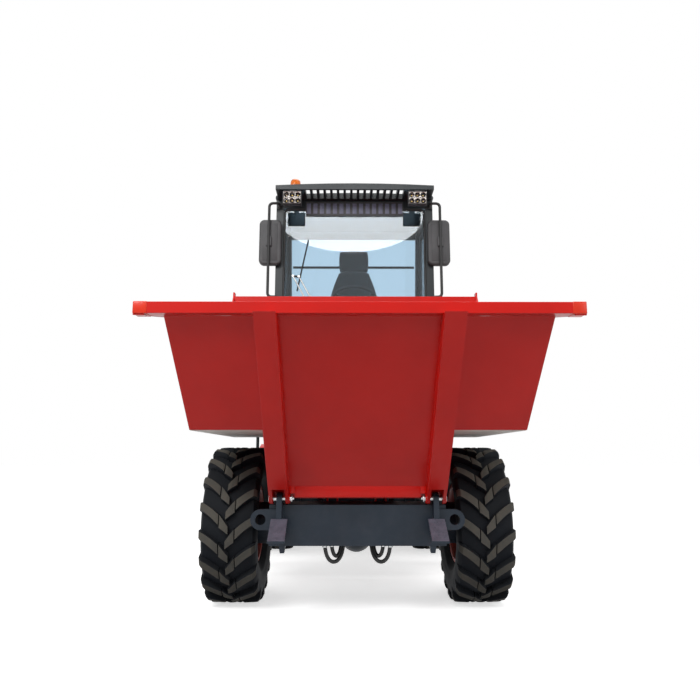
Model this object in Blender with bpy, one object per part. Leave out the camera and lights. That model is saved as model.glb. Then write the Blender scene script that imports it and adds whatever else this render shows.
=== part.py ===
"""Cabbed, articulated front-tip site dumper.

Metres, +Z up, the front of the machine looks along -Y and its left side is at +X.
The origin is on the ground, below the middle of the machine's outline.
"""

import math

import bmesh
import bpy
from mathutils import Matrix, Vector

# Driving dimensions of the whole machine
OVERALL_LENGTH = 4.410
FRONT_OVERHANG = 1.430
WHEELBASE = 2.30
PIVOT_BEHIND_FRONT_AXLE = 0.92
TRACK = 1.51

# Fits and faces shared by all pieces
SEAT_GAP = 0.0003
OVERRUN = 0.03
PIN_PLAY = 0.0009
WELD_SINK = 0.002
SIDES_ROUND = 16

FRONT_AXLE_Y = FRONT_OVERHANG - OVERALL_LENGTH / 2
REAR_AXLE_Y = FRONT_AXLE_Y + WHEELBASE
PIVOT_Y = FRONT_AXLE_Y + PIVOT_BEHIND_FRONT_AXLE
REAR_END_Y = OVERALL_LENGTH / 2
WHEEL_X = TRACK / 2
SIDES = (("left", 1), ("right", -1))

# Wheels
TYRE_RADIUS = 0.4825
TYRE_WIDTH = 0.332
TYRE_RISE_SHARES = ((0.94, 0.36), (1.0, 0.66))
SHOULDER_SHARE = 0.93
SHOULDER_DROP = 0.034
CROWN_DROP = 0.026
LUG_HEIGHT = 0.026
LUG_TOP_SHARE = 0.82
LUG_ANGLE = 5.5
LUG_SWEEP = 13.0
LUG_PHASE = -80.0
LUGS_PER_SIDE = 18
RIM_SEGMENTS = 36
RIM_RADIUS = 0.2286
RIM_WIDTH = 0.230
RIM_WALL = 0.008
FLANGE_HEIGHT = 0.0214
FLANGE_WALL = 0.006
DISC_OFFSET = 0.020
DISC_WALL = 0.012
HUB_RADIUS = 0.085

# Axles
BEAM_DEPTH = 0.090
BEAM_HEIGHT = 0.085
BEAM_HALF = 0.575
BRAKE_RADIUS = 0.130
NOSE_LENGTH = 0.050
DIFF_RADIUS = 0.163
DIFF_DROP = 0.020
DIFF_HALF = 0.100
DIFF_SIDE_RADIUS = 0.080
DIFF_NOSE_RADIUS = 0.055
DIFF_NOSE_REACH = 0.260
DIFF_NOSE_DROP = 0.055
SHAFT_RADIUS = 0.025
SHAFT_LOW_Z = 0.355
SHAFT_JOINT_GAP = 0.012

# Front crossmember with the skip's lugs, the footplates and the tie-down rings
CROSS_FRONT = 0.555
CROSS_BACK = 0.265
CROSS_TOP_Z = 0.635
CROSS_BOTTOM_Z = 0.410
CROSS_HALF = 0.500
CROSS_WALL = 0.012
SKIP_PIN_AHEAD = 0.600
SKIP_PIN_Z = 0.673
SKIP_PIN_RADIUS = 0.014
SKIP_PIN_STICK = 0.018
TONGUE_WALL = 0.030
TONGUE_RADIUS = 0.033
TONGUE_BOTTOM_Z = 0.450
RING_X = 0.547
RING_Z = 0.555
RING_RADIUS = 0.057
RING_HOLE_RADIUS = 0.030
RING_WALL = 0.018
FOOT_HALF_WIDTH = 0.047
FOOT_X = 0.435
FOOT_LENGTH = 0.155
FOOT_TOP_Z = 0.564
FOOT_DROP = 0.101
FOOT_WALL = 0.010
FOOT_GUSSET_WALL = 0.010
UNDER_BRACKET_X = 0.425
UNDER_BRACKET_HALF = 0.020
UNDER_BRACKET_DROP = 0.040
UNDER_BRACKET_DEPTH = 0.050
UNDER_BRACKET_TIP_SHARE = 0.6

# Front frame
RAIL_X = 0.225
RAIL_WALL = 0.020
RAIL_LOW_Z = 0.4050
DEEP_START = 0.400
DEEP_SLOPE = 0.080
FRAME_BACK = 0.620
FRAME_PLATE_WALL = 0.020
NECK_HALF = 0.050
EYE_RADIUS = 0.070
EYE_LOW_Z = 0.440
EYE_HIGH_Z = 0.560
PIVOT_PIN_RADIUS = 0.030
PIVOT_PIN_HEAD = 0.045
PIVOT_PIN_HEAD_HEIGHT = 0.014
SHAFT_NOTCH_HALF = 0.040
SHAFT_NOTCH_UNDER = 0.006
PAD_START = 0.050
PAD_LENGTH = 0.100
PAD_EXTRA = 0.010

# Tipping cylinders, a pair, between the front frame and the floor of the skip
TIP_RAM_X = 0.150
TIP_BASE_BEHIND = 0.560
TIP_BASE_Z = 0.440
TIP_EYE_AHEAD = 0.190
TIP_EYE_Z = 0.602
TIP_BARREL_RADIUS = 0.038
TIP_BARREL_SHARE = 0.62
TIP_ROD_RADIUS = 0.019
TIP_EYE_RADIUS = 0.028
TIP_EYE_HALF = 0.018
TIP_CHEEK_WALL = 0.010
TIP_CHEEK_PLAY = 0.008
TIP_CHEEK_HALF = 0.040
TIP_PIN_RADIUS = 0.014
TIP_ROD_START_SHARE = 0.06
ROD_PLAY = 0.0004

# Steering cylinder, on the right side of the pivot
STEER_BASE_X = 0.340
STEER_BASE_BEHIND = 0.460
STEER_EYE_X = 0.290
STEER_EYE_AHEAD = 0.170
STEER_Z = 0.500
STEER_BARREL_RADIUS = 0.028
STEER_BARREL_SHARE = 0.66
STEER_ROD_START_SHARE = 0.30
STEER_RETRACT = 0.165
STEER_ROD_RADIUS = 0.013
STEER_EYE_RADIUS = 0.022
STEER_EYE_HALF = 0.015
STEER_PIN_RADIUS = 0.010
STEER_CHEEK_WALL = 0.012
STEER_CHEEK_PLAY = 0.008
STEER_CHEEK_HALF = 0.032

# Skip
PLATE = 0.008
PLATE_ANGLE = 48.7
PLATE_BEHIND_PIN = 0.034
SKIP_FLOOR_Z = 0.672
LIP_Y = 1.330
WING_Z = 1.043
TROUGH_HALF = 0.505
TROUGH_FLOOR_BACK = 0.200
WING_BACK = 0.300
SKIP_BACK = 0.315
SIDE_TOP_BACK_Z = 1.895
SKIP_HALF_LOW = 0.890
SIDE_LEAN_SHARE = 0.04
SIDE_TAPER_SHARE = 0.022
RIM_TUBE = 0.055
RAIL_TUBE = 0.055
RAIL_OUTER = 1.049
RAIL_AHEAD = 0.045
RAIL_SINK = 0.006
FLANGE_PLATE = 0.008
HEADBOARD_RISE = 0.171
HEADBOARD_BAR = 0.050
HEADBOARD_EAR_HEIGHT = 0.030
HEADBOARD_EAR_WALL = 0.012
RIB_INNER = 0.385
RIB_WIDTH = 0.105
RIB_PROUD = 0.075
RIB_START = 0.105
EAR_WALL = 0.018
EAR_RADIUS = 0.030

# Rear chassis
FORK_HALF = 0.090
FORK_AHEAD = 0.100
FORK_BEHIND = 0.200
FORK_WALL = 0.030
FORK_PLAY = 0.0055
CHASSIS_TOP_Z = 0.680
TAIL_PLATE_WALL = 0.030
ENGINE_AHEAD = 0.350
ENGINE_BEHIND = 0.300
ENGINE_HALF = 0.230
ENGINE_TOP_Z = 1.250
COUNTER_LENGTH = 0.180
COUNTER_HALF = 0.550
COUNTER_LOW_Z = 0.500
COUNTER_TOP_Z = 0.880
TAIL_LAMP_WIDTH = 0.100
TAIL_LAMP_HEIGHT = 0.080
TAIL_LAMP_DEPTH = 0.030
TAIL_LAMP_X = 0.440

# Rear wings over the wheels
WING_RADIUS = 0.555
WING_PLATE = 0.008
WING_INNER_X = 0.560
WING_OUTER_X = 0.930
WING_START_ANGLE = 22.5
WING_END_ANGLE = 157.5
WING_STEPS = 9
WING_SHELF_Z = 0.640

# Side tanks with steps
TANK_BEHIND_PIVOT = 0.080
TANK_LENGTH = 0.400
TANK_INNER_X = 0.2455
TANK_OUTER_X = 0.760
TANK_LOW_Z = 0.560
TANK_TOP_Z = 1.019
TANK_BEVEL = 0.030
STEP_OUTER_X = 0.885
STEP_LENGTH = 0.300
STEP_WALL = 0.012
STEP_LOW_Z = 0.560
STEP_PITCH = 0.190
STEP_COUNT = 3
POST_X = 0.815
POST_RADIUS = 0.014
POST_TOP_Z = 1.330
POST_BEND = 0.050

# Cab
CAB_FRONT = 0.670
CAB_BACK = 1.600
CAB_BACK_TOP = 1.440
CAB_HALF = 0.640
CAB_POST = 0.060
CAB_BASE_Z = 1.020
CAB_FLOOR_Z = 1.380
CAB_SKIN = 0.012
CAB_SILL_Z = 1.420
CAB_WAIST_Z = 1.760
CAB_KNEE_Z = 2.100
ROOF_LOW_Z = 2.985
ROOF_WALL = 0.050
ROOF_HALF = 0.650
ROOF_BEVEL = 0.015
HEADER_HEIGHT = 0.070
DOOR_PLAY = 0.006
DOOR_FRAME = 0.045
DOOR_WALL = 0.030
DOOR_KNEE_BACK = 1.530
DOOR_TOP_BACK = 1.370
GLASS_WALL = 0.006
GLASS_SEAT = 0.010
HINGE_RADIUS = 0.012
HINGE_LENGTH = 0.080
HINGE_OUT = 0.014
HINGE_LIFT = 0.002
HINGE_SHARES = (0.10, 0.36)
HANDLE_LENGTH = 0.140
HANDLE_DEPTH = 0.025
VISOR_FRONT = 0.455
VISOR_HALF = 0.626
VISOR_WALL = 0.035
VISOR_ARCH = 0.017
VISOR_SLOTS = 15
SLOT_PITCH = 0.0535
SLOT_WIDTH = 0.034
SLOT_LENGTH = 0.165
SLOT_START = 0.018
LAMP_X = 0.493
LAMP_WIDTH = 0.147
LAMP_HEIGHT = 0.108
LAMP_DEPTH = 0.050
LAMP_FOOT = 0.020
BEACON_X = 0.490
BEACON_Y = 0.640
BEACON_RADIUS = 0.048
BEACON_BASE_HEIGHT = 0.030
BEACON_HEIGHT = 0.120
ARM_RADIUS = 0.011
ARM_X = 0.690
ARM_Y = 0.600
ARM_LOW_Z = 2.150
ARM_HIGH_Z = 2.930
ARM_BEND = 0.040
MIRROR_INNER_X = 0.590
MIRROR_WIDTH = 0.180
MIRROR_LOW_Z = 2.420
MIRROR_HEIGHT = 0.380
MIRROR_DEPTH = 0.045
MIRROR_BEVEL = 0.018
MIRROR_STAND = 0.006

# Inside the cab
SEAT_Y = 1.105
SEAT_HALF = 0.250
SEAT_LENGTH = 0.450
SEAT_BASE_TOP_Z = 1.760
SEAT_BASE_HALF = 0.180
CUSHION_HEIGHT = 0.110
BACK_WALL = 0.110
BACK_TOP_Z = 2.500
BACK_HALF = 0.220
HEADREST_HALF = 0.134
HEADREST_TOP_Z = 2.750
HEADREST_LOW_Z = 2.530
HEADREST_WALL = 0.080
HEADREST_NECK_HALF = 0.050
DASH_HALF = 0.300
DASH_DEPTH = 0.140
COLUMN_RADIUS = 0.030
WHEEL_RING_RADIUS = 0.185
WHEEL_RING_WIRE = 0.013
WHEEL_RING_Z = 2.200
WHEEL_RING_TILT = 25
WHEEL_RING_Y = 0.930
WHEEL_SPOKE_HALF = 0.012
COLUMN_LOW_Z = 1.950
WHEEL_RING_STEPS = 24

# Engine hood
HOOD_FRONT = 1.655
HOOD_BACK = 2.900
HOOD_HALF = 0.430
HOOD_LOW_Z = 0.920
HOOD_TOP_Z = 1.640
HOOD_TAIL_Z = 1.500
HOOD_WALL = 0.015
HOOD_BEVEL = 0.060
GRILLE_HALF = 0.320
GRILLE_LOW_Z = 1.000
GRILLE_TOP_Z = 1.380
GRILLE_SLATS = 7
GRILLE_WALL = 0.010
SLAT_SHARE = 0.5
BULKHEAD_FRONT = 1.615
BULKHEAD_WALL = 0.012
BULKHEAD_HALF = 0.400
BULKHEAD_TOP_Z = 1.570
HOOD_HINGE_Z = 1.590
HOOD_HINGE_BEHIND = 0.022
HOOD_PIN_RADIUS = 0.008
HOOD_BLOCK_HALF = 0.040
HOOD_LUG_WALL = 0.015
HOOD_LUG_RADIUS = 0.018
EXHAUST_X = 0.620
EXHAUST_Y = 2.300
EXHAUST_RADIUS = 0.030
EXHAUST_TOP_Z = 2.000
EXHAUST_FOOT_RADIUS = 0.045
EXHAUST_FOOT_HEIGHT = 0.020
UNDER_BOX_HALF = 0.240

# Hydraulic hoses below the crossmember
HOSE_RADIUS = 0.011
HOSE_OUTER_X = 0.186
HOSE_INNER_X = 0.080
HOSE_LOW_Z = 0.312
HOSE_NEST = 0.038
HOSE_TOP_Z = 0.450
HOSE_FRONT_Y = 0.515
HOSE_DEPTH = 0.090
HOSE_BLOCK_HEIGHT = 0.025
HOSE_BLOCK_MARGIN = 0.018

# Wiper
WIPER_PIVOT_X = -0.180
WIPER_PIVOT_Z = 1.800
WIPER_TIP_X = -0.380
WIPER_TIP_Z = 2.330
WIPER_BLADE_TOP_Z = 2.560
WIPER_BLADE_LOW_Z = 2.120
WIPER_ARM_RADIUS = 0.007
WIPER_BLADE_HALF = 0.008
WIPER_STAND = 0.022

FINISHES = {
    "red": ((0.48, 0.03, 0.015), 0.30, 0.0),
    "red_rim": ((0.40, 0.03, 0.02), 0.40, 0.0),
    "slate": ((0.035, 0.047, 0.060), 0.45, 0.0),
    "cab_grey": ((0.020, 0.026, 0.030), 0.45, 0.0),
    "rubber": ((0.022, 0.023, 0.024), 0.85, 0.0),
    "hose": ((0.012, 0.012, 0.013), 0.60, 0.0),
    "plastic": ((0.065, 0.066, 0.070), 0.60, 0.0),
    "steel": ((0.55, 0.55, 0.54), 0.30, 1.0),
    "engine": ((0.10, 0.10, 0.11), 0.60, 0.2),
    "glass": ((0.45, 0.52, 0.55), 0.05, 0.0),
    "orange": ((0.80, 0.20, 0.010), 0.25, 0.0),
    "lamp": ((0.60, 0.56, 0.55), 0.25, 0.3),
    "seat": ((0.050, 0.056, 0.062), 0.90, 0.0),
}


def clear_scene():
    for item in list(bpy.data.objects):
        bpy.data.objects.remove(item, do_unlink=True)


def make_material(name, finish):
    colour, roughness, metallic = FINISHES[finish]
    material = bpy.data.materials.new(name)
    material.use_nodes = True
    shader = material.node_tree.nodes["Principled BSDF"]
    shader.inputs["Base Color"].default_value = (*colour, 1.0)
    shader.inputs["Roughness"].default_value = roughness
    shader.inputs["Metallic"].default_value = metallic
    return material


def object_from(bm, name="piece"):
    bmesh.ops.recalc_face_normals(bm, faces=bm.faces[:])
    mesh = bpy.data.meshes.new(name)
    bm.to_mesh(mesh)
    bm.free()
    item = bpy.data.objects.new(name, mesh)
    bpy.context.collection.objects.link(item)
    return item


def block(x, y, z):
    """A box between pairs of limits along X, Y and Z, in either order."""
    bm = bmesh.new()
    bmesh.ops.create_cube(bm, size=1)
    spans = [abs(pair[1] - pair[0]) for pair in (x, y, z)]
    middle = [(pair[0] + pair[1]) / 2 for pair in (x, y, z)]
    bmesh.ops.scale(bm, vec=spans, verts=bm.verts[:])
    bmesh.ops.translate(bm, vec=middle, verts=bm.verts[:])
    return object_from(bm)


def prism(points, axis, low, high):
    """An outline in the plane across an axis, drawn out between two places on it."""
    order = {"X": (2, 0, 1), "Y": (0, 2, 1), "Z": (0, 1, 2)}[axis]
    bm = bmesh.new()
    verts = []
    for a, b in points:
        flat = (a, b, low)
        verts.append(bm.verts.new([flat[i] for i in order]))
    face = bm.faces.new(verts)
    grown = bmesh.ops.extrude_face_region(bm, geom=[face])
    moved = [v for v in grown["geom"] if isinstance(v, bmesh.types.BMVert)]
    step = (0, 0, high - low)
    bmesh.ops.translate(bm, vec=[step[i] for i in order], verts=moved)
    return object_from(bm)


def rod(axis, centre, radius, low, high, sides=SIDES_ROUND, end_radius=None):
    """A round bar along an axis, its centre given by the two other coordinates."""
    turn = {
        "X": Matrix.Rotation(math.radians(90), 4, "Y"),
        "Y": Matrix.Rotation(math.radians(-90), 4, "X"),
        "Z": Matrix.Identity(4),
    }[axis]
    last = radius if end_radius is None else end_radius
    bm = bmesh.new()
    bmesh.ops.create_cone(
        bm, cap_ends=True, segments=sides, radius1=radius, radius2=last,
        depth=abs(high - low), matrix=turn,
    )
    middle = (low + high) / 2
    place = {
        "X": (middle, centre[0], centre[1]),
        "Y": (centre[0], middle, centre[1]),
        "Z": (centre[0], centre[1], middle),
    }[axis]
    bmesh.ops.translate(bm, vec=place, verts=bm.verts[:])
    return object_from(bm)


def bar_between(start, end, radius, sides=SIDES_ROUND):
    """A round bar from one point to another."""
    start, end = Vector(start), Vector(end)
    run = end - start
    turn = run.to_track_quat("Z", "Y").to_matrix().to_4x4()
    bm = bmesh.new()
    bmesh.ops.create_cone(
        bm, cap_ends=True, segments=sides, radius1=radius, radius2=radius,
        depth=run.length, matrix=Matrix.Translation((start + end) / 2) @ turn,
    )
    return object_from(bm)


def lathe(profile, centre, steps):
    """A closed outline of (along X, radius) pairs, turned about an axis along X."""
    bm = bmesh.new()
    verts = [bm.verts.new((a, 0, r)) for a, r in profile]
    edges = [bm.edges.new((verts[i - 1], verts[i])) for i in range(len(verts))]
    bmesh.ops.spin(
        bm, geom=verts + edges, cent=(0, 0, 0), axis=(1, 0, 0),
        angle=math.tau, steps=steps, use_merge=True,
    )
    bmesh.ops.remove_doubles(bm, verts=bm.verts[:], dist=SEAT_GAP / 10)
    bmesh.ops.translate(bm, vec=centre, verts=bm.verts[:])
    return object_from(bm)


def rounded(points, bend, steps=4):
    """A route whose inner corners are replaced by arcs."""
    route = [Vector(points[0])]
    for before, corner, after in zip(points, points[1:], points[2:]):
        before, corner, after = Vector(before), Vector(corner), Vector(after)
        start = corner + (before - corner).normalized() * bend
        end = corner + (after - corner).normalized() * bend
        for i in range(steps + 1):
            share = i / steps
            first = start.lerp(corner, share)
            second = corner.lerp(end, share)
            route.append(first.lerp(second, share))
    route.append(Vector(points[-1]))
    return route


def pipe(route, radius, closed=False, resolution=1):
    """A round tube with closed ends along a route of points."""
    curve = bpy.data.curves.new("route", "CURVE")
    curve.dimensions = "3D"
    curve.bevel_depth = radius
    curve.bevel_resolution = resolution
    curve.use_fill_caps = True
    spline = curve.splines.new("POLY")
    spline.points.add(len(route) - 1)
    for point, place in zip(spline.points, route):
        point.co = (*place, 1)
    spline.use_cyclic_u = closed
    guide = bpy.data.objects.new("route", curve)
    bpy.context.collection.objects.link(guide)
    mesh = bpy.data.meshes.new_from_object(
        guide.evaluated_get(bpy.context.evaluated_depsgraph_get())
    )
    bpy.data.objects.remove(guide, do_unlink=True)
    bm = bmesh.new()
    bm.from_mesh(mesh)
    bmesh.ops.remove_doubles(bm, verts=bm.verts[:], dist=SEAT_GAP / 10)
    return object_from(bm)


def bevelled(item, width, segments=1):
    """Breaks every edge of a piece."""
    bm = bmesh.new()
    bm.from_mesh(item.data)
    bmesh.ops.bevel(
        bm, geom=bm.edges[:], offset=width, segments=segments,
        profile=0.5, affect="EDGES", material=-1,
    )
    bm.to_mesh(item.data)
    bm.free()
    return item


def combine(base, other, operation):
    """Joins or cuts two pieces and keeps the result on the first."""
    modifier = base.modifiers.new("step", "BOOLEAN")
    modifier.operation = operation
    modifier.solver = "EXACT"
    modifier.object = other
    graph = bpy.context.evaluated_depsgraph_get()
    result = bpy.data.meshes.new_from_object(base.evaluated_get(graph))
    base.modifiers.clear()
    bm = bmesh.new()
    bm.from_mesh(result)
    bmesh.ops.remove_doubles(bm, verts=bm.verts[:], dist=SEAT_GAP / 100)
    bmesh.ops.dissolve_degenerate(bm, edges=bm.edges[:], dist=SEAT_GAP / 100)
    bm.to_mesh(result)
    bm.free()
    base.data = result
    bpy.data.objects.remove(other, do_unlink=True)
    return base


def node(name, finish, pieces, cuts=(), parent=None, smooth=None):
    """One named sub-part: its pieces joined, its cuts taken out, its material set."""
    item = pieces[0]
    for piece in pieces[1:]:
        item = combine(item, piece, "UNION")
    for cut in cuts:
        item = combine(item, cut, "DIFFERENCE")
    item.name = name
    item.data.name = name
    item.data.materials.clear()
    item.data.materials.append(make_material(name, finish))
    if smooth is not None:
        item.data.shade_smooth()
        item.data.set_sharp_from_angle(angle=math.radians(smooth))
    if parent is not None:
        item.parent = parent
        item.matrix_parent_inverse = parent.matrix_world.inverted()
    return item


def joint_frame(name, place, parent=None):
    """An empty on a joint's axis, which carries the pieces that move with it."""
    empty = bpy.data.objects.new(name, None)
    bpy.context.collection.objects.link(empty)
    empty.location = place
    bpy.context.view_layer.update()
    if parent is not None:
        empty.parent = parent
        empty.matrix_parent_inverse = parent.matrix_world.inverted()
        bpy.context.view_layer.update()
    return empty


def at_front(distance):
    """A distance behind the front axle, as a place along Y."""
    return FRONT_AXLE_Y + distance


def arc(centre, radius, start, end, steps):
    """Points of an arc in a plane, its angles in degrees."""
    points = []
    for i in range(steps + 1):
        angle = math.radians(start + (end - start) * i / steps)
        points.append((centre[0] + radius * math.cos(angle), centre[1] + radius * math.sin(angle)))
    return points


def inset(points, distance):
    """An outline whose sides are moved inwards by one distance."""
    count = len(points)
    area = sum(
        points[i - 1][0] * points[i][1] - points[i][0] * points[i - 1][1] for i in range(count)
    )
    turn = 1 if area > 0 else -1
    lines = []
    for i in range(count):
        a, b = Vector(points[i]), Vector(points[(i + 1) % count])
        along = (b - a).normalized()
        normal = Vector((-along.y, along.x)) * turn
        lines.append((a + normal * distance, along))
    moved = []
    for i in range(count):
        (p, d), (q, e) = lines[i - 1], lines[i]
        cross = d.x * e.y - d.y * e.x
        gap = q - p
        share = (gap.x * e.y - gap.y * e.x) / cross
        moved.append(tuple(p + d * share))
    return moved


def tyre_mesh(sign):
    """A tyre about the X axis: a plain carcass with swept lugs, left and right ones staggered."""
    half, bead = TYRE_WIDTH / 2, RIM_WIDTH / 2
    height = TYRE_RADIUS - RIM_RADIUS
    side = [(bead, RIM_RADIUS + SEAT_GAP), (bead, RIM_RADIUS + FLANGE_HEIGHT + SEAT_GAP)]
    side += [(half * a, RIM_RADIUS + height * b) for a, b in TYRE_RISE_SHARES]
    pitch = 360 / LUGS_PER_SIDE
    fine = []
    for i in range(LUGS_PER_SIDE):
        for start in (0, pitch / 2):
            fine += [i * pitch + start, i * pitch + start + LUG_ANGLE]
    coarse = fine[::2]
    bm = bmesh.new()

    def ring(x, radius, angles, sweep):
        verts = []
        for angle in angles:
            turn = math.radians(angle + LUG_PHASE + sweep)
            verts.append(bm.verts.new((x, -radius * math.cos(turn), -radius * math.sin(turn))))
        return verts

    def strip(first, second):
        count = len(first)
        return [bm.faces.new((first[i], first[(i + 1) % count], second[(i + 1) % count], second[i])) for i in range(count)]

    crown = ring(0, TYRE_RADIUS - CROWN_DROP, fine, LUG_SWEEP)
    lugs, beads = [], []
    for face, offset in ((sign, 0), (-sign, 2)):
        rings = [ring(face * x, radius, coarse, 0) for x, radius in side]
        shoulder = ring(face * half * SHOULDER_SHARE, TYRE_RADIUS - SHOULDER_DROP, fine, 0)
        for first, second in zip(rings, rings[1:]):
            strip(first, second)
        last = rings[-1]
        for i in range(len(last)):
            after = last[(i + 1) % len(last)]
            bm.faces.new((last[i], after, shoulder[2 * i + 1]))
            bm.faces.new((last[i], shoulder[2 * i + 1], shoulder[2 * i]))
            bm.faces.new((after, shoulder[(2 * i + 2) % len(shoulder)], shoulder[2 * i + 1]))
        lugs += strip(shoulder, crown)[offset::4]
        beads.append(rings[0])
    strip(beads[0], beads[1])
    grown = bmesh.ops.extrude_discrete_faces(bm, faces=lugs)
    for face in grown["faces"]:
        middle = face.calc_center_median()
        for vertex in face.verts:
            radial = Vector((0, vertex.co.y, vertex.co.z)).normalized()
            vertex.co = middle + (vertex.co - middle) * LUG_TOP_SHARE + radial * LUG_HEIGHT
            vertex.co.x = min(max(vertex.co.x, -half * SHOULDER_SHARE), half * SHOULDER_SHARE)
    low = min(vertex.co.z for vertex in bm.verts)
    for face in grown["faces"]:
        bmesh.ops.scale(bm, vec=(1, -TYRE_RADIUS / low, -TYRE_RADIUS / low), verts=face.verts[:])
    return object_from(bm)


def build_wheel(label, side, sign, axle_y, parent):
    """A tyre and its rim, which turn together about the axle."""
    centre = (sign * WHEEL_X, axle_y, TYRE_RADIUS)
    hub = joint_frame(f"spin_{label}_{side}", centre, parent)
    bead = RIM_WIDTH / 2
    flange_radius = RIM_RADIUS + FLANGE_HEIGHT
    tyre = tyre_mesh(sign)
    tyre.data.transform(Matrix.Translation(centre))
    node(f"tyre_{label}_{side}", "rubber", [tyre], parent=hub, smooth=30)

    seat = bead + SEAT_GAP
    edge = seat + FLANGE_WALL
    inner = RIM_RADIUS - RIM_WALL
    disc_in, disc_out = sign * DISC_OFFSET, sign * (DISC_OFFSET + DISC_WALL)
    first, last = (disc_out, disc_in) if sign > 0 else (disc_in, disc_out)
    rim = [
        (-edge, flange_radius), (-seat, flange_radius), (-seat, RIM_RADIUS), (seat, RIM_RADIUS),
        (seat, flange_radius), (edge, flange_radius), (edge, inner), (first, inner),
        (first, HUB_RADIUS), (last, HUB_RADIUS), (last, inner), (-edge, inner),
    ]
    node(f"rim_{label}_{side}", "red_rim", [lathe(rim, centre, RIM_SEGMENTS)], parent=hub, smooth=40)


def build_axle(label, axle_y, nose_sign, parent):
    """An axle beam with its brake drums, hub noses and differential housing."""
    z = TYRE_RADIUS
    face = WHEEL_X + DISC_OFFSET - SEAT_GAP
    pieces = [block((-BEAM_HALF, BEAM_HALF), (axle_y - BEAM_DEPTH / 2, axle_y + BEAM_DEPTH / 2),
                    (z - BEAM_HEIGHT / 2, z + BEAM_HEIGHT / 2))]
    for _, sign in SIDES:
        pieces.append(rod("X", (axle_y, z), BRAKE_RADIUS, sign * (BEAM_HALF - DIFF_HALF / 2), sign * face))
        pieces.append(rod("X", (axle_y, z), HUB_RADIUS - FLANGE_WALL, sign * (face - OVERRUN),
                          sign * (face + NOSE_LENGTH)))
    middle = (axle_y, z - DIFF_DROP)
    pieces.append(rod("X", middle, DIFF_SIDE_RADIUS, -DIFF_HALF, 0, 20, DIFF_RADIUS))
    pieces.append(rod("X", middle, DIFF_RADIUS - FLANGE_WALL, -FLANGE_WALL, DIFF_HALF, 20, DIFF_SIDE_RADIUS))
    nose_z = z - DIFF_NOSE_DROP
    nose_start = axle_y + nose_sign * FLANGE_WALL
    end = axle_y + nose_sign * DIFF_NOSE_REACH
    pieces.append(rod("Y", (0, nose_z), DIFF_NOSE_RADIUS, nose_start, end))
    joint = end + nose_sign * SHAFT_RADIUS
    pieces.append(rod("Y", (0, nose_z), SHAFT_RADIUS * 1.2, end - nose_sign * SHAFT_RADIUS, joint))
    last = (0, PIVOT_Y - nose_sign * SHAFT_JOINT_GAP, SHAFT_LOW_Z)
    pieces.append(bar_between((0, joint - nose_sign * SHAFT_RADIUS / 2, nose_z), last, SHAFT_RADIUS, 12))
    node(f"axle_{label}", "slate", pieces, parent=parent, smooth=30)


def skip_line():
    """A point on the outside of the skip's front plate, its direction and its outward normal."""
    slope = math.radians(PLATE_ANGLE)
    along = Vector((-math.cos(slope), math.sin(slope)))
    outward = Vector((-math.sin(slope), -math.cos(slope)))
    pin = Vector((at_front(-SKIP_PIN_AHEAD), SKIP_PIN_Z))
    return pin - outward * PLATE_BEHIND_PIN, along, outward


def plate_at_z(z, out=0.0):
    """The place along Y where the front plate, moved outwards, reaches a height."""
    point, along, outward = skip_line()
    point = point + outward * out
    return point.x + along.x * (z - point.y) / along.y


def build_crossmember(parent):
    """The front crossmember: a folded channel with tongues, tie-down rings and brackets."""
    front, back = at_front(-CROSS_FRONT), at_front(-CROSS_BACK)
    outer = block((-CROSS_HALF, CROSS_HALF), (front, back), (CROSS_BOTTOM_Z, CROSS_TOP_Z))
    hollow = block((-CROSS_HALF + CROSS_WALL, CROSS_HALF - CROSS_WALL), (front + CROSS_WALL, back + OVERRUN),
                   (CROSS_BOTTOM_Z - OVERRUN, CROSS_TOP_Z - CROSS_WALL))
    pieces = [combine(outer, hollow, "DIFFERENCE")] + footplates()
    pin_y = at_front(-SKIP_PIN_AHEAD)
    cuts = []
    for _, sign in SIDES:
        middle = sign * (RIB_INNER + RIB_WIDTH / 2)
        span = (middle - TONGUE_WALL / 2, middle + TONGUE_WALL / 2)
        pieces.append(block(span, (pin_y - TONGUE_RADIUS, pin_y + TONGUE_RADIUS), (TONGUE_BOTTOM_Z, SKIP_PIN_Z)))
        pieces.append(block(span, (pin_y, front + CROSS_WALL / 2), (TONGUE_BOTTOM_Z, CROSS_TOP_Z)))
        pieces.append(rod("X", (pin_y, SKIP_PIN_Z), TONGUE_RADIUS, span[0], span[1]))
        cuts.append(rod("X", (pin_y, SKIP_PIN_Z), SKIP_PIN_RADIUS + PIN_PLAY, span[0] - OVERRUN, span[1] + OVERRUN))
        ring = (sign * RING_X, RING_Z)
        ring_back = front + CROSS_WALL / 2
        pieces.append(rod("Y", ring, RING_RADIUS, front - RING_WALL, ring_back, 20))
        pieces.append(block((sign * (CROSS_HALF - RING_RADIUS), ring[0]), (front - RING_WALL, ring_back),
                            (RING_Z - RING_RADIUS, RING_Z + RING_RADIUS)))
        cuts.append(rod("Y", ring, RING_HOLE_RADIUS, front - RING_WALL - OVERRUN, back + OVERRUN))
        x = sign * UNDER_BRACKET_X
        tip = UNDER_BRACKET_HALF * UNDER_BRACKET_TIP_SHARE
        outline = [(x - UNDER_BRACKET_HALF, CROSS_BOTTOM_Z + CROSS_WALL),
                   (x + UNDER_BRACKET_HALF, CROSS_BOTTOM_Z + CROSS_WALL),
                   (x + tip, CROSS_BOTTOM_Z - UNDER_BRACKET_DROP),
                   (x - tip, CROSS_BOTTOM_Z - UNDER_BRACKET_DROP)]
        pieces.append(prism(outline, "Y", front + CROSS_WALL / 3, front + UNDER_BRACKET_DEPTH))
    node("front_crossmember", "slate", pieces, cuts, parent, smooth=30)


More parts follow.
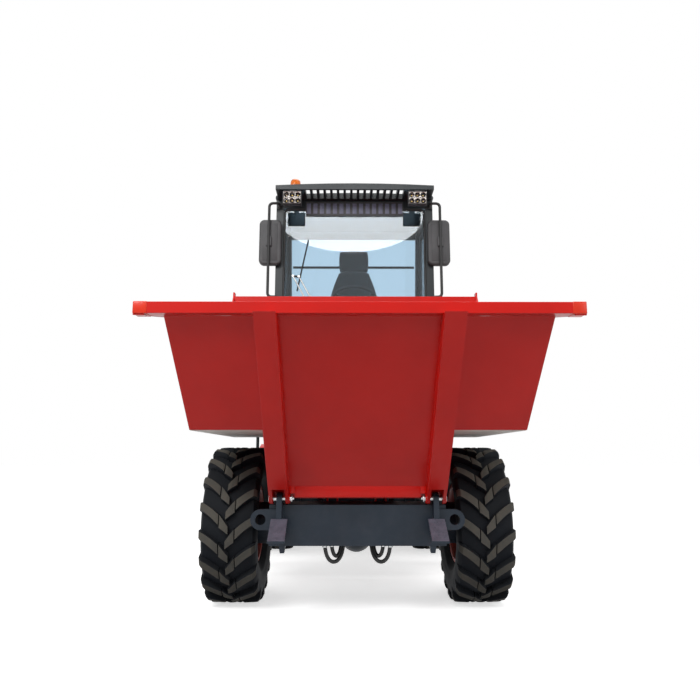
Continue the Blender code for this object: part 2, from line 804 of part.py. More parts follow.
def footplates():
    """Two sloping footplates, each on a gusset in front of a tongue of the crossmember."""
    pieces = []
    for _, sign in SIDES:
        x = (sign * (FOOT_X - FOOT_HALF_WIDTH), sign * (FOOT_X + FOOT_HALF_WIDTH))
        back_y = at_front(-SKIP_PIN_AHEAD) - TONGUE_RADIUS + FOOT_WALL / 2
        top = [(back_y, FOOT_TOP_Z), (back_y - FOOT_LENGTH, FOOT_TOP_Z - FOOT_DROP)]
        plate = prism(top + [(top[1][0], top[1][1] - FOOT_WALL), (top[0][0], top[0][1] - FOOT_WALL)],
                      "X", x[0], x[1])
        low = TONGUE_BOTTOM_Z
        gusset_x = sign * (RIB_INNER + RIB_WIDTH / 2)
        outline = [(back_y, FOOT_TOP_Z - FOOT_WALL / 2), (back_y, low),
                   (back_y - FOOT_LENGTH / 3, low),
                   (back_y - FOOT_LENGTH * 0.9, FOOT_TOP_Z - FOOT_DROP * 0.9 - FOOT_WALL / 2)]
        gusset = prism(outline, "X", gusset_x - FOOT_GUSSET_WALL / 2, gusset_x + FOOT_GUSSET_WALL / 2)
        pieces += [plate, gusset]
    return pieces


def build_skip_pins(parent):
    for side, sign in SIDES:
        ends = (sign * (RIB_INNER - SKIP_PIN_STICK), sign * (RIB_INNER + RIB_WIDTH + SKIP_PIN_STICK / 3))
        pin = rod("X", (at_front(-SKIP_PIN_AHEAD), SKIP_PIN_Z), SKIP_PIN_RADIUS, ends[0], ends[1])
        node(f"skip_pin_{side}", "steel", [pin], parent=parent, smooth=30)


def build_front_frame(parent):
    """Two rails from the crossmember back to the eye of the articulation."""
    start = at_front(-CROSS_FRONT) + CROSS_WALL + SEAT_GAP
    back = at_front(FRAME_BACK)
    top = CROSS_TOP_Z - CROSS_WALL - SEAT_GAP
    low = TYRE_RADIUS + BEAM_HEIGHT / 2 + SEAT_GAP
    deep = at_front(DEEP_START)
    outline = [(start, low), (deep, low), (deep + DEEP_SLOPE, RAIL_LOW_Z), (back, RAIL_LOW_Z), (back, top), (start, top)]
    pieces, cuts = [], []
    for _, sign in SIDES:
        pieces.append(prism(outline, "X", sign * RAIL_X, sign * (RAIL_X + RAIL_WALL)))
        pad = (at_front(PAD_START), at_front(PAD_START + PAD_LENGTH))
        pieces.append(block((sign * (RAIL_X - PAD_EXTRA), sign * (RAIL_X + RAIL_WALL + PAD_EXTRA)), pad,
                            (top - RAIL_WALL, SKIP_FLOOR_Z - SEAT_GAP)))
        base_y = at_front(TIP_BASE_BEHIND)
        inner = TIP_RAM_X + TIP_BARREL_RADIUS + TIP_CHEEK_PLAY
        pieces.append(rod("X", (base_y, TIP_BASE_Z), TIP_EYE_RADIUS, sign * inner, sign * (RAIL_X + RAIL_WALL / 2)))
        pieces.append(rod("X", (base_y, TIP_BASE_Z), TIP_PIN_RADIUS,
                          sign * (TIP_RAM_X - TIP_EYE_HALF), sign * (inner + OVERRUN / 3)))
    wide = RAIL_X + RAIL_WALL / 2
    pieces.append(block((-wide, wide), (back - FRAME_PLATE_WALL, back - WELD_SINK), (RAIL_LOW_Z + WELD_SINK, top - WELD_SINK)))
    pieces.append(block((-NECK_HALF, NECK_HALF), (back - FRAME_PLATE_WALL / 2, PIVOT_Y), (EYE_LOW_Z, EYE_HIGH_Z)))
    pieces.append(rod("Z", (0, PIVOT_Y), EYE_RADIUS, EYE_LOW_Z, EYE_HIGH_Z, 20))
    bracket_x = STEER_EYE_X + STEER_CHEEK_HALF
    eye_y = PIVOT_Y - STEER_EYE_AHEAD
    for up in (1, -1):
        inner = STEER_Z + up * (STEER_EYE_HALF + STEER_CHEEK_PLAY)
        pieces.append(block((-RAIL_X - RAIL_WALL / 2, -bracket_x), (back - FRAME_PLATE_WALL / 2, eye_y + STEER_CHEEK_HALF),
                            (inner, inner + up * STEER_CHEEK_WALL)))
    cuts.append(rod("Z", (0, PIVOT_Y), PIVOT_PIN_RADIUS + PIN_PLAY, EYE_LOW_Z - OVERRUN, EYE_HIGH_Z + OVERRUN, 20))
    cuts.append(block((-SHAFT_NOTCH_HALF, SHAFT_NOTCH_HALF), (back - FRAME_PLATE_WALL - OVERRUN, back + OVERRUN),
                      (RAIL_LOW_Z - OVERRUN, EYE_LOW_Z - SHAFT_NOTCH_UNDER)))
    node("front_frame", "slate", pieces, cuts, parent)


def build_hoses(parent):
    """On each side a pair of nested hose loops, which hang from a block inside the crossmember."""
    front = at_front(-CROSS_FRONT) + CROSS_WALL + SEAT_GAP
    for side, sign in SIDES:
        block_x = (sign * (HOSE_OUTER_X + HOSE_BLOCK_MARGIN), sign * (HOSE_INNER_X - HOSE_BLOCK_MARGIN))
        start_y = at_front(-HOSE_FRONT_Y)
        pieces = [block(block_x, (front, start_y + HOSE_DEPTH + HOSE_BLOCK_MARGIN),
                        (HOSE_TOP_Z, HOSE_TOP_Z + HOSE_BLOCK_HEIGHT))]
        for nest in (0, 1):
            outer, inner = HOSE_OUTER_X - nest * HOSE_NEST, HOSE_INNER_X + nest * HOSE_NEST / 3
            low = HOSE_LOW_Z + nest * HOSE_NEST * 0.8
            half = (outer - inner) / 2
            drop = HOSE_TOP_Z - low
            shift = nest * HOSE_NEST * 0.8
            route = []
            for i in range(13):
                angle = math.pi * i / 12
                x = (outer + inner) / 2 + half * math.cos(angle)
                z = HOSE_TOP_Z - drop * math.sin(angle) ** 0.7
                y = start_y + (HOSE_DEPTH - shift) * i / 12 + shift
                route.append((sign * x, y, z))
            first = (route[0][0], route[0][1], HOSE_TOP_Z + HOSE_BLOCK_HEIGHT / 2)
            last = (route[-1][0], route[-1][1], HOSE_TOP_Z + HOSE_BLOCK_HEIGHT / 2)
            pieces.append(pipe([first] + route + [last], HOSE_RADIUS))
        node(f"hoses_{side}", "hose", pieces, parent=parent, smooth=40)


def cylinder_axis(base, eye):
    """Where a cylinder's barrel ends and its rod starts along the line between its pins."""
    base, eye = Vector(base), Vector(eye)
    return base, eye, (eye - base).normalized(), (eye - base).length


def build_cylinder(name, base, eye, across, sizes, carrier, follower):
    """A barrel and a rod on the line between two pins, the rod running inside the barrel."""
    barrel_radius, rod_radius, eye_radius, eye_half, pin_radius, share, start_share, retract = sizes
    base, eye, along, length = cylinder_axis(base, eye)
    barrel_end = base + along * length * share
    rod_start = base + along * length * start_share
    plane = {"X": (1, 2), "Z": (0, 1)}[across]
    level = {"X": 0, "Z": 2}[across]

    def eye_disc(place):
        centre = (place[plane[0]], place[plane[1]])
        return rod(across, centre, eye_radius, place[level] - eye_half, place[level] + eye_half)

    def eye_hole(place):
        centre = (place[plane[0]], place[plane[1]])
        return rod(across, centre, pin_radius + PIN_PLAY, place[level] - eye_half - OVERRUN,
                   place[level] + eye_half + OVERRUN)

    tube = bar_between(base + along * eye_radius * 0.8, barrel_end, barrel_radius)
    bore = bar_between(rod_start - along * (retract + ROD_PLAY), barrel_end + along * OVERRUN, rod_radius + ROD_PLAY)
    node(f"{name}_barrel", "slate", [tube, eye_disc(base)], [eye_hole(base), bore], carrier, smooth=30)
    shaft = bar_between(rod_start, eye - along * eye_radius * 0.8, rod_radius)
    node(f"{name}_rod", "steel", [shaft, eye_disc(eye)], [], follower, smooth=30)


def build_front(parent):
    """Everything that turns with the front frame but does not tip."""
    build_crossmember(parent)
    build_skip_pins(parent)
    build_front_frame(parent)
    build_axle("front", FRONT_AXLE_Y, 1, parent)
    build_hoses(parent)
    tip_sizes = (TIP_BARREL_RADIUS, TIP_ROD_RADIUS, TIP_EYE_RADIUS, TIP_EYE_HALF, TIP_PIN_RADIUS, TIP_BARREL_SHARE,
                 TIP_ROD_START_SHARE, 0)
    for side, sign in SIDES:
        base = (sign * TIP_RAM_X, at_front(TIP_BASE_BEHIND), TIP_BASE_Z)
        eye = (sign * TIP_RAM_X, at_front(-TIP_EYE_AHEAD), TIP_EYE_Z)
        carrier = joint_frame(f"tip_barrel_{side}", base, parent)
        follower = joint_frame(f"tip_rod_{side}", base, carrier)
        build_cylinder(f"tip_cylinder_{side}", base, eye, "X", tip_sizes, carrier, follower)


def side_half(y, z):
    """Half the width of the skip's outside at a place, its sides leaning out and tapering back."""
    front_low = plate_at_z(WING_Z)
    return SKIP_HALF_LOW + SIDE_LEAN_SHARE * (z - WING_Z) - SIDE_TAPER_SHARE * (y - front_low)


def skip_lip_z():
    point, along, _ = skip_line()
    return point.y + along.y * (at_front(-LIP_Y) - point.x) / along.x


def skip_shape(wall):
    """The skip's outside, or its inside when a wall thickness is given, as one body."""
    lip, back = at_front(-LIP_Y), at_front(SKIP_BACK)
    rise = 0 if wall == 0 else OVERRUN + wall
    trough = [
        (plate_at_z(SKIP_FLOOR_Z), SKIP_FLOOR_Z), (at_front(TROUGH_FLOOR_BACK), SKIP_FLOOR_Z),
        (at_front(WING_BACK), WING_Z), (at_front(WING_BACK), WING_Z + TROUGH_FLOOR_BACK),
        (plate_at_z(WING_Z + TROUGH_FLOOR_BACK), WING_Z + TROUGH_FLOOR_BACK),
    ]
    wings = [
        (plate_at_z(WING_Z), WING_Z), (at_front(WING_BACK), WING_Z),
        (back, SIDE_TOP_BACK_Z), (lip, skip_lip_z()),
    ]
    if wall:
        trough, wings = inset(trough, wall), inset(wings, wall)
        slope = Vector(wings[2]) - Vector(wings[3])
        up = Vector((-slope.y, slope.x)).normalized() * rise
        _, along, _ = skip_line()
        stretch = along * rise / along.dot(up.normalized())
        wings[3] = tuple(Vector(wings[3]) + stretch)
        wings[2] = (wings[2][0] + (wings[2][0] - wings[1][0]) * rise / (wings[2][1] - wings[1][1]),
                    wings[2][1] + rise)
    middle = prism(trough, "X", -TROUGH_HALF + wall, TROUGH_HALF - wall)
    wide = prism(wings, "X", -1, 1)
    for vertex in wide.data.vertices:
        half = side_half(vertex.co.y, vertex.co.z) - wall
        vertex.co.x = math.copysign(half, vertex.co.x)
    return combine(wide, middle, "UNION")


def build_skip(parent):
    """The skip: tub, rim bar, side rails, headboard, ribs with ears and cylinder cheeks."""
    cheeks = []
    eye_y = at_front(-TIP_EYE_AHEAD)
    for _, sign in SIDES:
        for out in (1, -1):
            inner = sign * TIP_RAM_X + out * (TIP_EYE_HALF + TIP_CHEEK_PLAY)
            cheeks.append(block((inner, inner + out * TIP_CHEEK_WALL), (eye_y - TIP_CHEEK_HALF, eye_y + TIP_CHEEK_HALF),
                                (TIP_EYE_Z - TIP_EYE_RADIUS, SKIP_FLOOR_Z + PLATE / 2)))
    tub = combine(skip_shape(0), skip_shape(PLATE), "DIFFERENCE")
    node("skip_tub", "red", [tub] + cheeks, parent=parent)

    lip, back = at_front(-LIP_Y), at_front(SKIP_BACK)
    lip_z = skip_lip_z() + SEAT_GAP
    rail_inner = RAIL_OUTER - RAIL_TUBE
    rise = (SIDE_TOP_BACK_Z - skip_lip_z()) / (back - lip)
    flange_inner = side_half(back, SIDE_TOP_BACK_Z) - PLATE
    start = lip - RIM_TUBE - RAIL_AHEAD
    pieces = [block((-rail_inner - PLATE, rail_inner + PLATE), (lip - RIM_TUBE, lip), (lip_z, lip_z + RIM_TUBE))]
    for _, sign in SIDES:
        low = [skip_lip_z() - RAIL_SINK + (y - lip) * rise for y in (start, back)]
        pieces.append(prism([(start, low[0]), (back, low[1]), (back, low[1] + RAIL_TUBE), (start, low[0] + RAIL_TUBE)],
                            "X", sign * rail_inner, sign * RAIL_OUTER))
        low = [lip_z + (y - lip) * rise for y in (lip - PLATE, back)]
        pieces.append(prism([(lip - PLATE, low[0] + SEAT_GAP * 7), (lip, lip_z), (back, low[1]), (back, low[1] + FLANGE_PLATE),
                             (lip - PLATE, low[0] + FLANGE_PLATE)],
                            "X", sign * flange_inner, sign * (rail_inner + PLATE)))
    node("skip_rim", "red", pieces, parent=parent)

    top_low = SIDE_TOP_BACK_Z + FLANGE_PLATE + SEAT_GAP * 2
    top = SIDE_TOP_BACK_Z + HEADBOARD_RISE
    half = side_half(back, SIDE_TOP_BACK_Z)
    plate = block((-half, half), (back - PLATE, back), (top_low, top))
    beam = block((-half, half), (back - HEADBOARD_BAR, back), (top - HEADBOARD_BAR, top))
    between = flange_inner - SEAT_GAP
    foot = block((-between, between), (back - PLATE, back), (SIDE_TOP_BACK_Z + SEAT_GAP, top_low + PLATE))
    pieces = [beam, plate, foot]
    for _, sign in SIDES:
        gusset = [(back, top_low), (back - HEADBOARD_BAR * 3, top_low),
                  (back - HEADBOARD_BAR, top), (back - HEADBOARD_BAR, top + HEADBOARD_EAR_HEIGHT),
                  (back, top + HEADBOARD_EAR_HEIGHT)]
        pieces.append(prism(gusset, "X", sign * half, sign * (half - HEADBOARD_EAR_WALL)))
    node("skip_headboard", "red", pieces, parent=parent)

    point, along, outward = skip_line()
    pin = Vector((at_front(-SKIP_PIN_AHEAD), SKIP_PIN_Z))
    top_z = skip_lip_z() - SEAT_GAP * 2
    for side, sign in SIDES:
        near, far = sign * RIB_INNER, sign * (RIB_INNER + RIB_WIDTH)
        start = pin - outward * (PLATE_BEHIND_PIN - SEAT_GAP) + along * RIB_START
        outline = [tuple(start), tuple(start + outward * RIB_PROUD),
                   (plate_at_z(top_z, RIB_PROUD), top_z), (plate_at_z(top_z, SEAT_GAP), top_z)]
        pieces = [prism(outline, "X", near, far)]
        cuts = []
        for edge, turn in ((near, sign), (far, -sign)):
            ear = [tuple(pin + along * (RIB_START + EAR_RADIUS) - outward * (EAR_RADIUS - SEAT_GAP)),
                   tuple(pin + along * (RIB_START + EAR_RADIUS) + outward * (RIB_PROUD - PLATE_BEHIND_PIN - SEAT_GAP))]
            base_angle = math.degrees(math.atan2(outward.y, outward.x))
            ear += arc(pin, EAR_RADIUS, base_angle, base_angle + 180, 6)
            pieces.append(prism(ear, "X", edge, edge + turn * EAR_WALL))
        cuts.append(rod("X", tuple(pin), SKIP_PIN_RADIUS + PIN_PLAY, near - sign * OVERRUN, far + sign * OVERRUN))
        node(f"skip_rib_{side}", "red", pieces, cuts, parent)


def build_chassis():
    """The rear chassis: rails, the fork of the articulation, cross plates."""
    start, back = PIVOT_Y + FORK_BEHIND, REAR_END_Y - COUNTER_LENGTH - SEAT_GAP
    low = TYRE_RADIUS + BEAM_HEIGHT / 2 + SEAT_GAP
    fork_low = EYE_LOW_Z - FORK_PLAY - FORK_WALL
    outline = [(start, fork_low), (start + DEEP_SLOPE, fork_low), (start + DEEP_SLOPE * 3, low), (back, low),
               (back, CHASSIS_TOP_Z), (start, CHASSIS_TOP_Z)]
    pieces = []
    for _, sign in SIDES:
        pieces.append(prism(outline, "X", sign * RAIL_X, sign * (RAIL_X + RAIL_WALL)))
    wide = RAIL_X + RAIL_WALL / 2
    levels = (fork_low + WELD_SINK, CHASSIS_TOP_Z - WELD_SINK)
    pieces.append(block((-wide, wide), (start + WELD_SINK, start + FRAME_PLATE_WALL), levels))
    pieces.append(block((-wide, wide), (back - TAIL_PLATE_WALL, back - WELD_SINK), (low + WELD_SINK, levels[1])))
    for z in (EYE_HIGH_Z + FORK_PLAY, fork_low):
        pieces.append(block((-FORK_HALF, FORK_HALF), (PIVOT_Y - FORK_AHEAD, start + FRAME_PLATE_WALL / 2), (z, z + FORK_WALL)))
    base_y = PIVOT_Y + STEER_BASE_BEHIND
    for up in (1, -1):
        inner = STEER_Z + up * (STEER_BARREL_RADIUS + STEER_CHEEK_PLAY)
        pieces.append(block((-RAIL_X - RAIL_WALL / 2, -STEER_BASE_X - STEER_CHEEK_HALF),
                            (base_y - STEER_CHEEK_HALF, base_y + STEER_CHEEK_HALF), (inner, inner + up * STEER_CHEEK_WALL)))
    reach = STEER_BARREL_RADIUS + STEER_CHEEK_PLAY * 1.5
    pieces.append(rod("Z", (-STEER_BASE_X, base_y), STEER_PIN_RADIUS, STEER_Z - reach, STEER_Z + reach))
    top = EYE_HIGH_Z + FORK_PLAY + FORK_WALL
    pieces.append(rod("Z", (0, PIVOT_Y), PIVOT_PIN_RADIUS, fork_low - FORK_PLAY, top + FORK_PLAY, 20))
    pieces.append(rod("Z", (0, PIVOT_Y), PIVOT_PIN_HEAD, top - FORK_PLAY, top + PIVOT_PIN_HEAD_HEIGHT, 20))
    pieces.append(block((-UNDER_BOX_HALF, UNDER_BOX_HALF), (at_front(CAB_FRONT) + CAB_POST, at_front(CAB_BACK) - CAB_POST),
                        (CHASSIS_TOP_Z - FORK_PLAY, CAB_BASE_Z - SEAT_GAP)))
    node("rear_chassis", "slate", pieces, smooth=30)


def build_rear():
    """What the rear chassis carries below and behind the cab."""
    build_axle("rear", REAR_AXLE_Y, -1, None)
    engine = block((-ENGINE_HALF, ENGINE_HALF), (REAR_AXLE_Y - ENGINE_AHEAD, REAR_AXLE_Y + ENGINE_BEHIND),
                   (CHASSIS_TOP_Z + SEAT_GAP, ENGINE_TOP_Z))
    node("engine_block", "engine", [engine])
    front = REAR_END_Y - COUNTER_LENGTH
    weight = block((-COUNTER_HALF, COUNTER_HALF), (front, REAR_END_Y), (COUNTER_LOW_Z, COUNTER_TOP_Z))
    pieces = [bevelled(weight, TANK_BEVEL)]
    for _, sign in SIDES:
        x = (sign * (TAIL_LAMP_X - TAIL_LAMP_WIDTH / 2), sign * (TAIL_LAMP_X + TAIL_LAMP_WIDTH / 2))
        pieces.append(block(x, (REAR_END_Y - TANK_BEVEL - TAIL_LAMP_DEPTH, REAR_END_Y - TANK_BEVEL),
                            (COUNTER_TOP_Z - PLATE, COUNTER_TOP_Z + TAIL_LAMP_HEIGHT)))
    node("counterweight", "slate", pieces)


def build_wings():
    """Arched wings over the rear wheels, each with an inner panel and a shelf on the chassis."""
    for side, sign in SIDES:
        centre = (REAR_AXLE_Y, TYRE_RADIUS)
        outer = arc(centre, WING_RADIUS, WING_START_ANGLE, WING_END_ANGLE, WING_STEPS)
        inner = arc(centre, WING_RADIUS - WING_PLATE, WING_END_ANGLE, WING_START_ANGLE, WING_STEPS)
        pieces = [prism(outer + inner, "X", sign * WING_INNER_X, sign * WING_OUTER_X)]
        panel = arc(centre, WING_RADIUS - WING_PLATE / 2, WING_START_ANGLE, WING_END_ANGLE, WING_STEPS)
        panel = panel[:]
        low = WING_SHELF_Z
        panel += [(panel[-1][0], low), (panel[0][0], low)]
        pieces.append(prism(panel, "X", sign * WING_INNER_X, sign * (WING_INNER_X + WING_PLATE)))
        shelf_x = RAIL_X + RAIL_WALL + SEAT_GAP
        pieces.append(block((sign * shelf_x, sign * (WING_INNER_X + WING_PLATE / 2)),
                            (REAR_AXLE_Y - ENGINE_AHEAD, REAR_AXLE_Y + ENGINE_BEHIND), (low, low + WING_PLATE)))
        node(f"rear_wing_{side}", "red", pieces)


def build_tanks():
    """A tank on each side of the chassis, with steps and a handrail post."""
    start = PIVOT_Y + FORK_BEHIND + TANK_BEHIND_PIVOT
    for side, sign in SIDES:
        tank = block((sign * TANK_INNER_X, sign * TANK_OUTER_X), (start, start + TANK_LENGTH), (TANK_LOW_Z, TANK_TOP_Z))
        pieces = [bevelled(tank, TANK_BEVEL)]
        y = (start + TANK_BEVEL * 1.5, start + TANK_BEVEL * 1.5 + STEP_LENGTH)
        for i in range(STEP_COUNT):
            z = STEP_LOW_Z + TANK_BEVEL + STEP_PITCH * i
            pieces.append(block((sign * (TANK_OUTER_X - STEP_WALL), sign * STEP_OUTER_X), y, (z, z + STEP_WALL)))
        foot_z = TANK_LOW_Z + POST_BEND * 2
        foot_x = sign * (TANK_OUTER_X - POST_BEND * 2)
        route = rounded([
            (foot_x, start + POST_RADIUS, foot_z), (foot_x, start - POST_BEND, foot_z),
            (sign * POST_X, start - POST_BEND, foot_z), (sign * POST_X, start - POST_BEND, POST_TOP_Z),
            (sign * (CAB_HALF + SEAT_GAP), start - POST_BEND, POST_TOP_Z),
        ], POST_BEND * 0.6)
        pieces.append(pipe(route, POST_RADIUS))
        node(f"side_tank_{side}", "cab_grey", pieces, smooth=40)


def cab_side_outline():
    return [(at_front(CAB_FRONT), CAB_SILL_Z + SEAT_GAP), (at_front(CAB_BACK), CAB_SILL_Z + SEAT_GAP),
            (at_front(CAB_BACK), CAB_KNEE_Z), (at_front(CAB_BACK_TOP), ROOF_LOW_Z), (at_front(CAB_FRONT), ROOF_LOW_Z)]


def door_outline():
    return [(at_front(CAB_FRONT) + CAB_POST, CAB_SILL_Z + SEAT_GAP), (at_front(DOOR_KNEE_BACK), CAB_SILL_Z + SEAT_GAP),
            (at_front(DOOR_KNEE_BACK), CAB_KNEE_Z), (at_front(DOOR_TOP_BACK), ROOF_LOW_Z - CAB_POST),
            (at_front(CAB_FRONT) + CAB_POST, ROOF_LOW_Z - CAB_POST)]


def door_hinge(sign):
    """The place of a door's hinge axis, outside the rear post of its opening."""
    return sign * (CAB_HALF + HINGE_OUT), at_front(DOOR_KNEE_BACK) + HINGE_OUT


def hinge_levels():
    height = ROOF_LOW_Z - CAB_SILL_Z
    return [CAB_SILL_Z + height * share for share in HINGE_SHARES]


def build_cab_shell():
    """The cab's lower tub, its frame of posts and rails, the roof and the slotted visor."""
    front, back = at_front(CAB_FRONT), at_front(CAB_BACK)
    outer = block((-CAB_HALF, CAB_HALF), (front, back), (CAB_BASE_Z, CAB_SILL_Z))
    low = block((-CAB_HALF + CAB_SKIN, CAB_HALF - CAB_SKIN), (front + CAB_SKIN, back - CAB_SKIN),
                (CAB_BASE_Z + CAB_SKIN, CAB_FLOOR_Z))
    low_mouth = block((-CAB_HALF + CAB_POST * 2, CAB_HALF - CAB_POST * 2), (front + CAB_POST * 2, back - CAB_POST * 2),
                      (CAB_BASE_Z - OVERRUN, CAB_BASE_Z + CAB_SKIN * 2))
    high = block((-CAB_HALF + CAB_SKIN, CAB_HALF - CAB_SKIN), (front + CAB_SKIN, back - CAB_SKIN),
                 (CAB_FLOOR_Z + CAB_SKIN, CAB_SILL_Z + OVERRUN))
    node("cab_tub", "cab_grey", [outer], [low, low_mouth, high])

    pieces, cuts = [], []
    for _, sign in SIDES:
        hinge_x, hinge_y = door_hinge(sign)
        for z in hinge_levels():
            level = (z - HINGE_LENGTH / 2, z - SEAT_GAP)
            pieces.append(rod("Z", (hinge_x, hinge_y), HINGE_RADIUS, level[0], level[1], 12))
            pieces.append(block((hinge_x, sign * (CAB_HALF - CAB_POST / 2)), (hinge_y, hinge_y + DOOR_FRAME / 2), level))
        pieces.append(prism(cab_side_outline(), "X", sign * CAB_HALF, sign * (CAB_HALF - CAB_POST)))
        cuts.append(prism(door_outline(), "X", sign * (CAB_HALF + OVERRUN), sign * (CAB_HALF - CAB_POST - OVERRUN)))
    sill = CAB_SILL_Z + SEAT_GAP
    inner = CAB_HALF - CAB_POST / 2
    pieces.append(block((-inner, inner), (front, front + CAB_POST / 2), (sill, CAB_WAIST_Z)))
    pieces.append(block((-inner, inner), (front, front + CAB_POST / 2), (ROOF_LOW_Z - HEADER_HEIGHT, ROOF_LOW_Z)))
    pieces.append(block((-inner, inner), (back - CAB_POST / 2, back), (sill, CAB_WAIST_Z)))
    top_back = at_front(CAB_BACK_TOP)
    pieces.append(block((-inner, inner), (top_back - CAB_POST / 2, top_back), (ROOF_LOW_Z - HEADER_HEIGHT, ROOF_LOW_Z)))
    node("cab_frame", "cab_grey", pieces, cuts)

    roof = block((-ROOF_HALF, ROOF_HALF), (front - CAB_SKIN, at_front(CAB_BACK_TOP) + CAB_POST),
                 (ROOF_LOW_Z + SEAT_GAP, ROOF_LOW_Z + ROOF_WALL))
    node("cab_roof", "cab_grey", [bevelled(roof, ROOF_BEVEL)])

    visor_back = front - CAB_SKIN - SEAT_GAP
    visor_front = at_front(VISOR_FRONT)
    low = ROOF_LOW_Z + SEAT_GAP
    steps = 6
    outline = [(-VISOR_HALF, low), (VISOR_HALF, low)]
    for i in range(steps + 1):
        share = 1 - 2 * i / steps
        outline.append((VISOR_HALF * share, low + VISOR_WALL + VISOR_ARCH * (1 - share ** 2)))
    visor = prism(outline, "Y", visor_front, visor_back)
    cuts = []
    for i in range(VISOR_SLOTS):
        x = (i - (VISOR_SLOTS - 1) / 2) * SLOT_PITCH
        cuts.append(block((x - SLOT_WIDTH / 2, x + SLOT_WIDTH / 2),
                          (visor_front + SLOT_START, visor_front + SLOT_START + SLOT_LENGTH),
                          (low - OVERRUN, low + VISOR_WALL + VISOR_ARCH + OVERRUN)))
    node("roof_visor", "cab_grey", [visor], cuts)


def build_glass():
    front, back = at_front(CAB_FRONT), at_front(CAB_BACK)
    half = CAB_HALF - CAB_POST - SEAT_GAP
    screen = block((-half, half), (front + GLASS_SEAT, front + GLASS_SEAT + GLASS_WALL),
                   (CAB_WAIST_Z + SEAT_GAP, ROOF_LOW_Z - HEADER_HEIGHT - SEAT_GAP))
    node("windscreen", "glass", [screen])
    knee, top = Vector((back, CAB_KNEE_Z)), Vector((at_front(CAB_BACK_TOP), ROOF_LOW_Z))
    slope = (top - knee).normalized()
    normal = Vector((-slope.y, slope.x))
    base = knee + normal * GLASS_SEAT
    low_z = CAB_WAIST_Z + SEAT_GAP
    end_z = ROOF_LOW_Z - HEADER_HEIGHT - SEAT_GAP
    points = [Vector((back - GLASS_SEAT, low_z)), Vector((back - GLASS_SEAT, CAB_KNEE_Z)), base + slope * ((end_z - base.y) / slope.y)]
    shifted = [p + Vector((-GLASS_WALL, 0)) for p in reversed(points)]
    pane = prism([tuple(p) for p in points + shifted], "X", -half, half)
    node("rear_window", "glass", [pane])


def build_doors():
    """A framed glass door on each side, hinged at the rear post."""
    for side, sign in SIDES:
        hinge_x, hinge_y = door_hinge(sign)
        hinge = joint_frame(f"door_hinge_{side}", (hinge_x, hinge_y, CAB_FLOOR_Z))
        outer = inset(door_outline(), DOOR_PLAY)
        opening = inset(outer, DOOR_FRAME)
        faces = (sign * CAB_HALF, sign * (CAB_HALF - DOOR_WALL))
        panel = prism(outer, "X", *faces)
        cut = prism(opening, "X", faces[0] + sign * OVERRUN, faces[1] - sign * OVERRUN)
        pieces = [panel]
        for z in hinge_levels():
            pieces.append(rod("Z", (hinge_x, hinge_y), HINGE_RADIUS, z, z + HINGE_LENGTH, 12))
            leaf_z = (z + HINGE_LENGTH / 4, z + HINGE_LENGTH * 0.75)
            pieces.append(block((hinge_x, faces[0] + sign * HINGE_LIFT), (hinge_y - DOOR_FRAME, hinge_y), leaf_z))
            pieces.append(block((hinge_x, faces[0] - sign * DOOR_WALL / 3),
                                (hinge_y - DOOR_FRAME, at_front(DOOR_KNEE_BACK) - DOOR_PLAY * 2), leaf_z))
        handle_z = CAB_WAIST_Z + DOOR_FRAME
        start = outer[0][0]
        pieces.append(block((faces[0] - sign * SEAT_GAP * 10, faces[0] + sign * HANDLE_DEPTH),
                            (start + DOOR_FRAME * 0.2, start + DOOR_FRAME * 0.8),
                            (handle_z, handle_z + HANDLE_LENGTH)))
        node(f"door_{side}", "cab_grey", pieces, [cut], hinge)
        seat = faces[0] - sign * GLASS_SEAT
        pane = prism(inset(opening, SEAT_GAP), "X", seat, seat - sign * GLASS_WALL)
        node(f"door_glass_{side}", "glass", [pane], parent=hinge)


